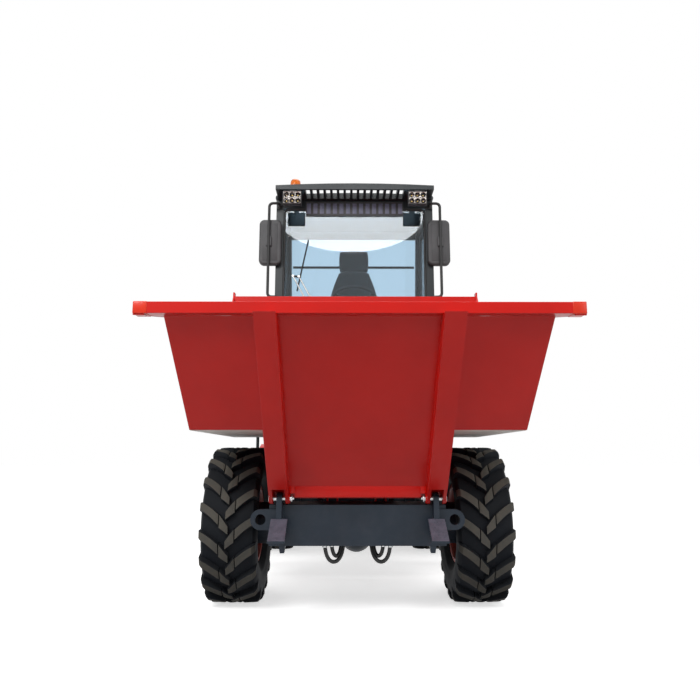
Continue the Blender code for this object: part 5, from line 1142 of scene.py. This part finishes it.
@dataclass
class WorkLamps:
    """Two LED work lamps on the visor's lip: housing, bowls, diodes and lens."""

    x: float = 0.493
    half: float = 0.0735
    low: float = 2.857
    high: float = 2.965
    front: float = -0.340
    back: float = -0.290
    wall: float = 0.006
    depth: float = 0.026

    def outside(self, spot: Vector, x: float) -> bool:
        """Returns whether a corner of the housing of the lamp at x is on its outer sides."""
        return abs(spot.x - x) > self.half - MM or not self.low + MM <= spot.z <= self.high - MM

    def bowl(self, bm: bmesh.types.BMesh, centre: Vector, radius: float) -> None:
        """Adds one parabolic bowl that opens forward.

        Args:
            bm: The bmesh to add to.
            centre: The middle of its rim.
            radius: The radius of its rim.
        """
        outline = [(0.2, 0.020), (0.35, 0.0195), (0.6, 0.016), (0.85, 0.008), (1.0, 0.0)]
        verts = [bm.verts.new(centre + Vector((radius * share, deep, 0))) for share, deep in outline]
        edges = [bm.edges.new(pair) for pair in zip(verts, verts[1:])]
        bmesh.ops.spin(
            bm, geom=verts + edges, cent=centre, axis=(0, 1, 0), angle=math.tau, steps=24, use_merge=True
        )

    def bezel(self, x: float) -> bmesh.types.BMesh:
        """Builds the plate around the six bowls.

        Args:
            x: The lamp's middle.

        Returns:
            The plate with its holes.
        """
        bm = bmesh.new()
        wide, tall = self.half - self.wall, (self.high - self.low) / 2 - self.wall
        upright = Matrix.Rotation(math.pi / 2, 4, "X") @ Matrix.Rotation(math.pi / 32, 4, "Z")
        for column in (-1, 0, 1):
            for row in (-0.5, 0.5):
                centre = Vector(
                    (x + column * wide / 1.5, self.front + 0.003, (self.low + self.high) / 2 + row * tall)
                )
                back = centre + Vector((0, 0.003, 0))
                hole = bmesh.ops.create_circle(
                    bm, segments=32, radius=0.0195, matrix=Matrix.Translation(back) @ upright
                )["verts"]
                edges = list({e for v in hole for e in v.link_edges})
                made = bmesh.ops.extrude_edge_only(bm, edges=edges)["geom"]
                for vert in [v for v in made if isinstance(v, bmesh.types.BMVert)]:
                    way = (vert.co - back).normalized()
                    reach = min(wide / 3 / max(abs(way.x), 1e-6), tall / 2 / max(abs(way.z), 1e-6))
                    vert.co = centre + way * reach
        return bm

    def build(self) -> None:
        """Builds both lamps."""
        for side, sign in SIDES:
            x = sign * self.x
            bm = bmesh.new()
            add_cube(bm, (x - self.half, self.front, self.low), (x + self.half, self.back, self.high))
            face = min(bm.faces, key=lambda f: f.calc_center_median().y)
            bmesh.ops.inset_region(bm, faces=[face], thickness=self.wall)
            floor = bmesh.ops.extrude_discrete_faces(bm, faces=[face])["faces"][0]
            bmesh.ops.translate(bm, vec=(0, self.depth, 0), verts=floor.verts[:])
            outer = [e for e in bm.edges if all(self.outside(v.co, x) for v in e.verts)]
            bmesh.ops.bevel(
                bm, geom=outer, offset=0.004, segments=3, profile=0.5, affect="EDGES", material=-1
            )
            for i in range(7):
                fin = x - self.half + 0.012 + i * (2 * self.half - 0.024) / 6
                add_cube(
                    bm, (fin - 0.0015, self.back - 0.002, self.low + 0.012),
                    (fin + 0.0015, self.back + 0.008, self.high - 0.022), 0.0005
                )
            add_cube(bm, (x - 0.02, self.back - 0.004, self.high - 0.03), (x + 0.02, -0.3125, 2.984), 0.002)
            lamp = finished(f"lamp_housing_{side}", bm, BLACK_ABS, "rear_chassis")
            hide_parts(f"work_lamp_{side}")
            bowls, diodes = bmesh.new(), bmesh.new()
            for column in (-1, 0, 1):
                for row in (-0.5, 0.5):
                    centre = Vector(
                        (x + column * 0.043, self.front + 0.004, (self.low + self.high) / 2 + row * 0.046)
                    )
                    self.bowl(bowls, centre, 0.0208)
                    add_bar(
                        diodes, centre + Vector((0, 0.021, 0)), centre + Vector((0, 0.016, 0)), 0.0046, 16,
                        0.0030
                    )
            finished(f"lamp_bowls_{side}", bowls, BOWL_METAL, "rear_chassis", 60)
            finished(f"lamp_bezel_{side}", self.bezel(x), BEZEL, "rear_chassis", 20)
            finished(f"lamp_diodes_{side}", diodes, DIODE_PHOSPHOR, "rear_chassis")
            bm = bmesh.new()
            add_cube(
                bm, (x - self.half + 0.007, self.front - 0.0005, self.low + 0.007),
                (x + self.half - 0.007, self.front + 0.0025, self.high - 0.007), 0.0008
            )
            finished(f"lamp_lens_{side}", bm, LENS, "rear_chassis")


@dataclass
class Beacon:
    """The amber beacon: rubber foot, fluted base, domed lens and its inner reflector."""

    x: float = -0.490
    y: float = -0.075
    foot_z: float = 3.0353
    steps: int = 48

    def build(self) -> None:
        """Builds the beacon."""
        foot = (self.x, self.y, self.foot_z)
        outline = [
            (0.0, 0.0), (0.047, 0.0), (0.048, 0.003), (0.048, 0.010), (0.0465, 0.013), (0.0465, 0.020),
            (0.048, 0.022), (0.048, 0.028), (0.046, 0.030), (0.020, 0.031), (0.0, 0.031),
        ]
        base = turned(outline, "Z", self.steps, foot, closed=False)
        piece = finished("beacon_base", base, SEAL_RUBBER, "rear_chassis")
        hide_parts("beacon")
        outline = [
            (0.0, 0.030), (0.0455, 0.030), (0.0455, 0.036), (0.0445, 0.060), (0.0430, 0.095),
            (0.0415, 0.118), (0.0385, 0.130), (0.031, 0.138), (0.018, 0.1415), (0.0, 0.142),
        ]
        lens = turned(outline, "Z", self.steps, foot, closed=False)
        finished("beacon_lens", lens, AMBER_LENS, "rear_chassis", 50)
        outline = [
            (0.0, 0.034), (0.026, 0.034), (0.024, 0.040), (0.010, 0.046), (0.009, 0.085), (0.020, 0.098),
            (0.0, 0.100),
        ]
        inner = turned(outline, "Z", self.steps // 2, foot, closed=False)
        finished("beacon_reflector", inner, REFLECTOR, "rear_chassis")


@dataclass
class Cushioning:
    """The driver's seat in woven cloth: cushion, bolsters, back, headrest, posts and piping."""

    pressure: float = 4.0
    frames: int = 20
    voxel: float = 0.006
    swell: float = 0.007

    def pad(
        self, bm: bmesh.types.BMesh, low: Sequence[float], high: Sequence[float], crown: float, axis: int,
        out: int
    ) -> None:
        """Adds a soft block whose sides pull in and whose face is crowned.

        Args:
            bm: The bmesh to add to.
            low: One corner.
            high: The opposite corner.
            crown: How far the face stands proud in its middle.
            axis: The axis the face looks along, 0 to 2.
            out: 1 or -1, the way it looks.
        """
        first = len(bm.verts)
        add_cube(bm, low, high)
        bm.verts.ensure_lookup_table()
        made = bm.verts[first:]
        edges = list({e for v in made for e in v.link_edges})
        bmesh.ops.subdivide_edges(bm, edges=edges, cuts=11, use_grid_fill=True)
        bm.verts.ensure_lookup_table()
        middle = [(a + b) / 2 for a, b in zip(low, high)]
        half = [(b - a) / 2 for a, b in zip(low, high)]
        for vert in bm.verts[first:]:
            unit = [(vert.co[i] - middle[i]) / half[i] for i in range(3)]
            size = 1 - 0.055 * (sum(u * u for u in unit) - max(u * u for u in unit)) ** 1.4
            for i in range(3):
                vert.co[i] = middle[i] + half[i] * unit[i] * size
            lift = unit[axis] * out
            if lift > 0:
                flat = [math.cos(unit[i] * math.pi / 2) for i in range(3) if i != axis]
                vert.co[axis] += out * crown * lift * max(flat[0] * flat[1], 0) ** 0.6

    def cloth(self, item: bpy.types.Object) -> None:
        """Blows the cover up a little as cloth, and keeps what stays within the swell.

        Args:
            item: The pad's object.
        """
        scene = bpy.context.scene
        remesh = item.modifiers.new("cloth_mesh", "REMESH")
        remesh.mode = "VOXEL"
        remesh.voxel_size = self.voxel
        graph = bpy.context.evaluated_depsgraph_get()
        item.data = bpy.data.meshes.new_from_object(item.evaluated_get(graph))
        item.modifiers.clear()
        before = [v.co.copy() for v in item.data.vertices]
        low = min(v.z for v in before)
        back = max(v.y for v in before)
        held = item.vertex_groups.new(name="held")
        held.add([i for i, v in enumerate(before) if v.z < low + 0.02 or v.y > back - 0.02], 1.0, "REPLACE")
        cloth = item.modifiers.new("cover", "CLOTH")
        cloth.settings.use_pressure = True
        cloth.settings.uniform_pressure_force = self.pressure
        cloth.settings.effector_weights.gravity = 0
        cloth.settings.vertex_group_mass = "held"
        cloth.settings.tension_stiffness = 30
        for frame_number in range(1, self.frames + 1):
            scene.frame_set(frame_number)
        graph = bpy.context.evaluated_depsgraph_get()
        after = [v.co.copy() for v in item.evaluated_get(graph).data.vertices]
        item.modifiers.clear()
        scene.frame_set(1)
        for vert, start, end in zip(item.data.vertices, before, after):
            move = end - start
            if move.length > self.swell:
                move = move.normalized() * self.swell
            vert.co = start + move
        shade(item.data, 70)

    def piece(self, name: str, bm: bmesh.types.BMesh, replaces: str | None = None) -> None:
        """Finishes one pad as a soft piece.

        Args:
            name: The piece's name.
            bm: Its shape.
            replaces: The CAD node it stands for, if any.
        """
        item = finished(name, bm, SEAT_CLOTH, "rear_chassis", 70)
        self.cloth(item)
        if replaces:
            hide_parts(replaces)
        smooth = item.modifiers.new("smooth", "SUBSURF")
        smooth.levels = smooth.render_levels = 1

    def build(self) -> None:
        """Builds the seat."""
        bm = bmesh.new()
        self.pad(bm, (-0.248, 0.107, 1.7605), (0.248, 0.440, 1.862), 0.010, 2, 1)
        self.piece("seat_cushion_pad", bm, "seat_cushion")
        for side, sign in SIDES:
            bm = bmesh.new()
            near, far = sorted((sign * 0.165, sign * 0.250))
            self.pad(bm, (near, 0.110, 1.775), (far, 0.450, 1.872), 0.008, 2, 1)
            self.piece(f"seat_bolster_{side}", bm)
        bm = bmesh.new()
        self.pad(bm, (-0.218, 0.449, 1.873), (0.218, 0.553, 2.565), 0.008, 1, -1)
        for vert in bm.verts:
            vert.co.x *= 1 - 0.36 * max((vert.co.z - 2.30) / 0.265, 0) ** 1.3
        self.piece("seat_back_pad", bm, "seat_back")
        bm = bmesh.new()
        self.pad(bm, (-0.132, 0.470, 2.552), (0.132, 0.551, 2.749), 0.008, 1, -1)
        self.piece("headrest_pad", bm)
        bm = bmesh.new()
        for x in (-0.05, 0.05):
            add_bar(bm, (x, 0.512, 2.44), (x, 0.512, 2.56), 0.006, 16)
        finished("headrest_posts", bm, CHROME_ROD, "rear_chassis")
        bm = bmesh.new()
        for y, z in ((0.112, 1.850), (0.112, 1.772)):
            add_tube(bm, rounded([(-0.15, y - 0.002, z), (0.15, y - 0.002, z)], 0.01), 0.003, 8)
        for x in (-0.135, 0.135):
            add_tube(
                bm,
                [(x, 0.445 - 0.004 * math.sin(i / 10 * math.pi), 1.92 + 0.54 * i / 10) for i in range(11)],
                0.003, 8
            )
        finished("seat_piping", bm, SEAL_RUBBER, "rear_chassis")


@dataclass
class CabInside:
    """Steering wheel, gauge bezels, levers and pedals."""

    centre: tuple[float, float, float] = (0.0, 0.155, 2.200)
    ring: float = 0.185
    wire: float = 0.013
    tilt: float = 25.0

    def build(self) -> None:
        """Builds the cab's controls."""
        centre = Vector(self.centre)
        turn = Matrix.Rotation(math.radians(-self.tilt), 4, "X")
        turns = [math.tau * i / 16 for i in range(16)]
        wire = [(self.ring + self.wire * math.cos(a), self.wire * math.sin(a)) for a in turns]
        bm = turned(wire, "Z", 72, (0, 0, 0))
        for angle in (90, 210, 330):
            way = Vector((math.cos(math.radians(angle)), math.sin(math.radians(angle)), 0))
            add_bar(bm, way * 0.02 - Vector((0, 0, 0.008)), way * self.ring, 0.011, 16, 0.008)
        add_bar(bm, (0, 0, -0.028), (0, 0, 0.012), 0.040, 40, 0.034, 0.004)
        bmesh.ops.transform(bm, matrix=Matrix.Translation(centre) @ turn, verts=bm.verts[:])
        wheel = finished("steering_wheel_rim", bm, BLACK_ABS, "rear_chassis", 40)
        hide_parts("steering_wheel")
        bm = bmesh.new()
        for x, z in ((-0.045, 1.90), (0.045, 1.90)):
            add_bar(bm, (x, 0.165, z), (x, 0.1745, z), 0.030, 40, bevel=0.002)
        finished("gauge_bezels", bm, ZINC_STEEL, "rear_chassis")
        bm = bmesh.new()
        for x in (0.20, 0.245):
            add_tube(
                bm, rounded([(x, 0.12, 1.755), (x, 0.14, 1.85), (x + 0.01, 0.17, 1.93)], 0.03), 0.005, 12
            )
            add_bar(bm, (x + 0.01, 0.168, 1.92), (x + 0.012, 0.176, 1.965), 0.014, 20, 0.011, 0.003)
        for x in (-0.14, -0.06, 0.06):
            add_cube(bm, (x - 0.025, 0.066, 1.43), (x + 0.025, 0.080, 1.50), 0.003)
        finished("cab_levers", bm, SEAL_RUBBER, "rear_chassis")


@dataclass
class MirrorGlass:
    """The mirrors: moulded head, tube arm, the driver's pane and the raised panel on the back."""

    inner: float = 0.590
    width: float = 0.180
    low: float = 2.420
    high: float = 2.800

    def head(self, side: str, sign: int) -> None:
        """Builds a mirror's moulded head, its clamp and its arm.

        Args:
            side: left or right.
            sign: The side along X.
        """
        middle = sign * (self.inner + self.width / 2)
        bm = bmesh.new()
        add_cube(
            bm, (middle - self.width / 2, -0.158, self.low), (middle + self.width / 2, -0.113, self.high)
        )
        deep = [e for e in bm.edges if abs(e.verts[0].co.y - e.verts[1].co.y) > 0.01]
        bmesh.ops.bevel(bm, geom=deep, offset=0.042, segments=8, profile=0.5, affect="EDGES", material=-1)
        face = min(bm.faces, key=lambda f: f.calc_center_median().y)
        bmesh.ops.bevel(
            bm, geom=list(face.edges), offset=0.016, segments=5, profile=0.5, affect="EDGES", material=-1
        )
        add_cube(
            bm, (sign * 0.690 - 0.022, -0.178, self.low + 0.15),
            (sign * 0.690 + 0.022, -0.150, self.high - 0.15), 0.004
        )
        head = finished(f"mirror_head_{side}", bm, BLACK_ABS, "rear_chassis", 40)
        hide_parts(f"mirror_{side}")
        bm = bmesh.new()
        x = sign * 0.610
        out = sign * 0.690
        route = [
            (x, -0.1055, 2.15), (x, -0.175, 2.15), (out, -0.175, 2.15), (out, -0.175, 2.93),
            (x, -0.175, 2.93), (x, -0.1055, 2.93),
        ]
        add_tube(bm, rounded(route, 0.035, 8), 0.011, 20)
        for z in (2.15, 2.93):
            add_bar(bm, (x, -0.1055, z), (x, -0.113, z), 0.022, 32, bevel=0.002)
        finished(f"mirror_arm_{side}", bm, SEAL_RUBBER, "rear_chassis", 50)

    def build(self) -> None:
        """Builds the heads, panes and panels."""
        for side, sign in SIDES:
            self.head(side, sign)
        for side, sign in SIDES:
            middle = sign * (self.inner + self.width / 2)
            bm = bmesh.new()
            add_cube(
                bm, (middle - 0.078, -0.1145, self.low + 0.014), (middle + 0.078, -0.1115, self.high - 0.014),
                0.0012
            )
            finished(f"mirror_pane_{side}", bm, MIRROR_GLASS, "rear_chassis")
            bm = bmesh.new()
            add_cube(
                bm, (middle - 0.058, -0.1605, self.low + 0.034), (middle + 0.058, -0.156, self.high - 0.034),
                0.0022
            )
            finished(f"mirror_back_panel_{side}", bm, BLACK_ABS, "rear_chassis")


@dataclass
class RearDetails:
    """Tail lamps, hood latches, step treads and the tank's neck."""

    back: float = 2.205

    def build(self) -> None:
        """Builds the details behind the cab and on its sides."""
        red, amber, clear = bmesh.new(), bmesh.new(), bmesh.new()
        for _, sign in SIDES:
            for bm, z in ((red, 0.800), (amber, 0.765), (clear, 0.830)):
                x = sign * 0.44
                add_cube(
                    bm, (x - 0.044, self.back - 0.004, z - 0.014), (x + 0.044, self.back + 0.006, z + 0.014),
                    0.003, 3
                )
        finished("tail_lamp_red", red, RED_LENS, "rear_chassis")
        finished("tail_lamp_amber", amber, AMBER_LENS, "rear_chassis")
        finished("tail_lamp_clear", clear, LENS, "rear_chassis")
        bm = bmesh.new()
        for x in (-0.30, 0.30):
            add_cube(bm, (x - 0.02, 2.118, 0.955), (x + 0.02, 2.134, 0.995), 0.004)
            add_bar(bm, (x, 2.125, 0.975), (x, 2.136, 0.975), 0.010, 20, bevel=0.001)
        finished("hood_latches", bm, ZINC_STEEL, "engine_hood")
        bm = bmesh.new()
        for _, sign in SIDES:
            for z in (0.572, 0.762, 0.952):
                for i in range(9):
                    y = 0.49 + i * 0.0335
                    add_cube(bm, (sign * 0.775, y, z - 0.0005), (sign * 0.880, y + 0.008, z + 0.0035), 0.0012)
        finished("step_treads", bm, ZINC_STEEL, "rear_chassis")
        bm = bmesh.new()
        add_bar(bm, (-0.50, 0.60, 1.008), (-0.50, 0.60, 1.0195), 0.055, 40, bevel=0.002)
        finished("tank_neck", bm, ZINC_STEEL, "rear_chassis")


@dataclass
class HoodDetails:
    """Side louvres, the painted shadow in their slots and along the lower seams, and the handles of the
    engine hood.
    """

    half: float = 0.430
    louvres: int = 7
    first_z: float = 1.02
    pitch: float = 0.048

    def louvre(self, bm: bmesh.types.BMesh, sign: int, y: float, z: float, length: float) -> None:
        """Adds one pressed louvre, open at its lower edge.

        Args:
            bm: The bmesh to add to.
            sign: The side along X.
            y: Where it starts.
            z: The height of its open edge.
            length: Its length along Y.
        """
        x = sign * self.half
        section = [(-0.0005, 0.026), (0.006, 0.019), (0.0085, 0.010), (0.0085, 0.0), (-0.0005, 0.0)]
        add_slab(bm, [(x + sign * out, y, z + rise) for out, rise in section], (0, length, 0))

    def build(self) -> None:
        """Builds the hood's details."""
        bm = bmesh.new()
        for _, sign in SIDES:
            for i in range(self.louvres):
                self.louvre(bm, sign, 1.30, self.first_z + i * self.pitch, 0.34)
        finished("hood_louvres", bm, RED_ENAMEL, "engine_hood")
        # Black strips in the louvres' slots and a thin black line along the lower seam: painted shadow
        bm = bmesh.new()
        for _, sign in SIDES:
            for i in range(self.louvres):
                z = self.first_z + i * self.pitch
                add_cube(
                    bm, (sign * (self.half + 0.0005), 1.305, z - 0.0002),
                    (sign * (self.half + 0.0078), 1.635, z + 0.0006)
                )
            add_tube(
                bm,
                [(sign * (self.half + 0.0002), 0.905, 1.000), (sign * (self.half + 0.0002), 2.105, 1.000)],
                0.0022, 8
            )
        finished("hood_shadow_seams", bm, SEAL_RUBBER, "engine_hood")
        bm = bmesh.new()
        for _, sign in SIDES:
            for y in (1.06, 1.90):
                foot, grip = sign * (self.half - 0.004), sign * (self.half + 0.022)
                route = [
                    (foot, y - 0.05, 1.10), (grip, y - 0.05, 1.10), (grip, y + 0.05, 1.10),
                    (foot, y + 0.05, 1.10),
                ]
                add_tube(bm, rounded(route, 0.012, 5), 0.005, 12)
        finished("hood_handles", bm, SEAL_RUBBER, "engine_hood")


@dataclass
class SideDetails:
    """Door pane seals, fuel cap, tank straps, counterweight bolts, blank plate and exhaust clamps."""

    pane_x: float = 0.632
    strap_x: float = 0.7585
    strap: float = 0.003
    cap_x: float = 0.52
    cap_y: float = 0.60
    cap: float = 0.045

    def build(self) -> None:
        """Builds the details on the cab's sides and the tanks."""
        for side, sign in SIDES:
            bm = bmesh.new()
            outline = [(0.010, 1.478), (0.010, 2.866), (0.598, 2.866), (0.700, 2.10), (0.700, 1.478)]
            loop = [(sign * self.pane_x, y, z) for y, z in outline]
            middle = (Vector(loop[0]) + Vector(loop[-1])) / 2
            add_tube(bm, rounded([middle, *loop, middle], 0.03), 0.006, 8)
            finished(f"door_pane_seal_{side}", bm, SEAL_RUBBER, f"door_{side}", 60)
        bm = bmesh.new()
        add_bar(
            bm, (self.cap_x, self.cap_y, 1.018), (self.cap_x, self.cap_y, 1.036), self.cap, 48, bevel=0.003
        )
        for i in range(18):
            turn = math.tau * i / 18
            x, y = self.cap_x + self.cap * math.cos(turn), self.cap_y + self.cap * math.sin(turn)
            add_cube(bm, (x - 0.003, y - 0.003, 1.0195), (x + 0.003, y + 0.003, 1.034), 0.001)
        finished("fuel_cap", bm, SEAL_RUBBER, "rear_chassis")
        bm = bmesh.new()
        for _, sign in SIDES:
            for y in (0.43, 0.76):
                outer = sign * (self.strap_x + self.strap)
                add_cube(bm, (sign * self.strap_x, y - 0.015, 0.60), (outer, y + 0.015, 0.98), 0.001)
                for z in (0.62, 0.96):
                    add_bolt(bm, (outer, y, z), (sign, 0, 0), 0.012)
        finished("tank_straps", bm, SLATE_COAT, "rear_chassis")
        bm = bmesh.new()
        for x, z in ((-0.50, 0.56), (0.50, 0.56), (-0.50, 0.90), (0.50, 0.90), (-0.15, 0.90), (0.15, 0.90)):
            add_bolt(bm, (x, 2.205, z), (0, 1, 0), 0.024)
        finished("counterweight_bolts", bm, ZINC_STEEL, "rear_chassis")
        bm = bmesh.new()
        add_cube(bm, (-0.13, 2.2045, 0.600), (0.13, 2.2075, 0.655), 0.0012)
        finished("blank_plate", bm, PALE_PRIMER_AND_PAINTED_REFLECTION, "rear_chassis")
        bm = bmesh.new()
        for z in (1.12, 1.42, 1.72):
            add_bar(bm, (-0.62, 1.525, z), (-0.62, 1.525, z + 0.022), 0.0475, 32, bevel=0.002)
        finished("exhaust_clamps", bm, ZINC_STEEL, "rear_chassis")


@dataclass
class Studio:
    """A plain pale floor, soft lights and the camera."""

    lens: float = 32.14
    place: tuple[float, float, float] = (-0.06, -4.970, 0.902)
    pitch: float = 9.72
    yaw: float = -0.27

    def seen(self, tree: bpy.types.NodeTree) -> bpy.types.Node:
        """Adds the nodes that tell the rays which show the background.

        Args:
            tree: The node tree to add to.

        Returns:
            A node whose output is 1 for camera, glossy and transmission rays.
        """
        path = add_node(tree, "ShaderNodeLightPath").outputs
        clear = add_node(
            tree, "ShaderNodeMath", links={
                0: path["Is Glossy Ray"], 1: path["Is Transmission Ray"]
            }, operation="MAXIMUM"
        )
        return add_node(
            tree, "ShaderNodeMath", links={0: path["Is Camera Ray"], 1: clear.outputs[0]}, operation="MAXIMUM"
        )

    def floor(self) -> None:
        """Lays the floor, which is white to the camera and in glass."""
        bm = bmesh.new()
        bmesh.ops.create_grid(bm, x_segments=1, y_segments=1, size=60)
        mesh = bpy.data.meshes.new("floor")
        bm.to_mesh(mesh)
        bm.free()
        item = bpy.data.objects.new("floor", mesh)
        bpy.context.scene.collection.objects.link(item)
        material = bpy.data.materials.new("studio_floor")
        material.use_nodes = True
        tree = material.node_tree
        shader = tree.nodes["Principled BSDF"]
        shader.inputs["Roughness"].default_value = 0.9
        shader.inputs["Specular IOR Level"].default_value = 0.1
        shader.inputs["Emission Color"].default_value = (1, 1, 1, 1)
        seen = self.seen(tree)
        tone = add_node(
            tree, "ShaderNodeMix", {6: (0.34, 0.34, 0.34, 1), 7: (0.9, 0.9, 0.9, 1)}, {0: seen.outputs[0]},
            data_type="RGBA"
        )
        glow = add_node(tree, "ShaderNodeMath", {1: 0.62}, {0: seen.outputs[0]}, operation="MULTIPLY")
        tree.links.new(tone.outputs[2], shader.inputs["Base Color"])
        tree.links.new(glow.outputs[0], shader.inputs["Emission Strength"])
        mesh.materials.append(material)

    def world(self) -> None:
        """Sets a white world for the camera and glass and a soft one for light."""
        world = bpy.data.worlds.new("studio")
        bpy.context.scene.world = world
        world.use_nodes = True
        tree = world.node_tree
        seen = self.seen(tree)
        strength = add_node(
            tree, "ShaderNodeMapRange", {"To Min": 0.42, "To Max": 1.0}, {"Value": seen.outputs[0]}
        )
        background = tree.nodes["Background"]
        background.inputs["Color"].default_value = (1, 1, 1, 1)
        tree.links.new(strength.outputs["Result"], background.inputs["Strength"])

    def light(
        self, name: str, place: Sequence[float], aim: Sequence[float], size: float, power: float
    ) -> bpy.types.AreaLight:
        """Adds one soft area light.

        Args:
            name: Its name.
            place: Where it hangs.
            aim: What it looks at.
            size: Its width in metres.
            power: Its power in watts.

        Returns:
            The light's data.
        """
        lamp = bpy.data.lights.new(name, "AREA")
        lamp.size = size
        lamp.energy = power
        item = bpy.data.objects.new(name, lamp)
        item.location = place
        item.rotation_euler = (Vector(aim) - Vector(place)).to_track_quat("-Z", "Y").to_euler()
        bpy.context.scene.collection.objects.link(item)
        return lamp

    def build(self) -> None:
        """Builds the studio and the camera."""
        scene = bpy.context.scene
        scene.view_settings.view_transform = "Standard"
        self.floor()
        self.world()
        self.light("key", (-3.2, -6.0, 5.2), (0, -0.8, 1.0), 3.0, 270)
        self.light("fill", (4.2, -4.5, 3.4), (0, -0.6, 1.2), 3.5, 80)
        glare = self.light("glare", (0.02, -8.0, 6.0), (0, -0.1, 2.4), 3.1, 115)
        glare.shape = "ELLIPSE"
        glare.size_y = 1.5
        self.light("top", (0, 0.5, 6.5), (0, 0.3, 0), 4.0, 190)
        camera = bpy.data.cameras.new("camera")
        camera.lens = self.lens
        camera.sensor_width = 36
        camera.clip_end = 200
        item = bpy.data.objects.new("camera", camera)
        item.location = self.place
        item.rotation_euler = (math.radians(90 + self.pitch), 0, math.radians(self.yaw))
        scene.collection.objects.link(item)
        scene.camera = item


def main() -> None:
    """Builds the whole visual model."""
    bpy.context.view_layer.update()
    parts = (
        Shells(), Wheels(), SkipDetails(), CrossmemberDetails(), Housings(), Hoses(), Glazing(), WorkLamps(),
        Beacon(), Cushioning(), CabInside(), MirrorGlass(), RearDetails(), HoodDetails(), SideDetails(),
    )
    for part in parts:
        part.build()
        log.info("built %s", type(part).__name__)
    Studio().build()
    bpy.context.view_layer.update()


if __name__ == "__main__":
    main()
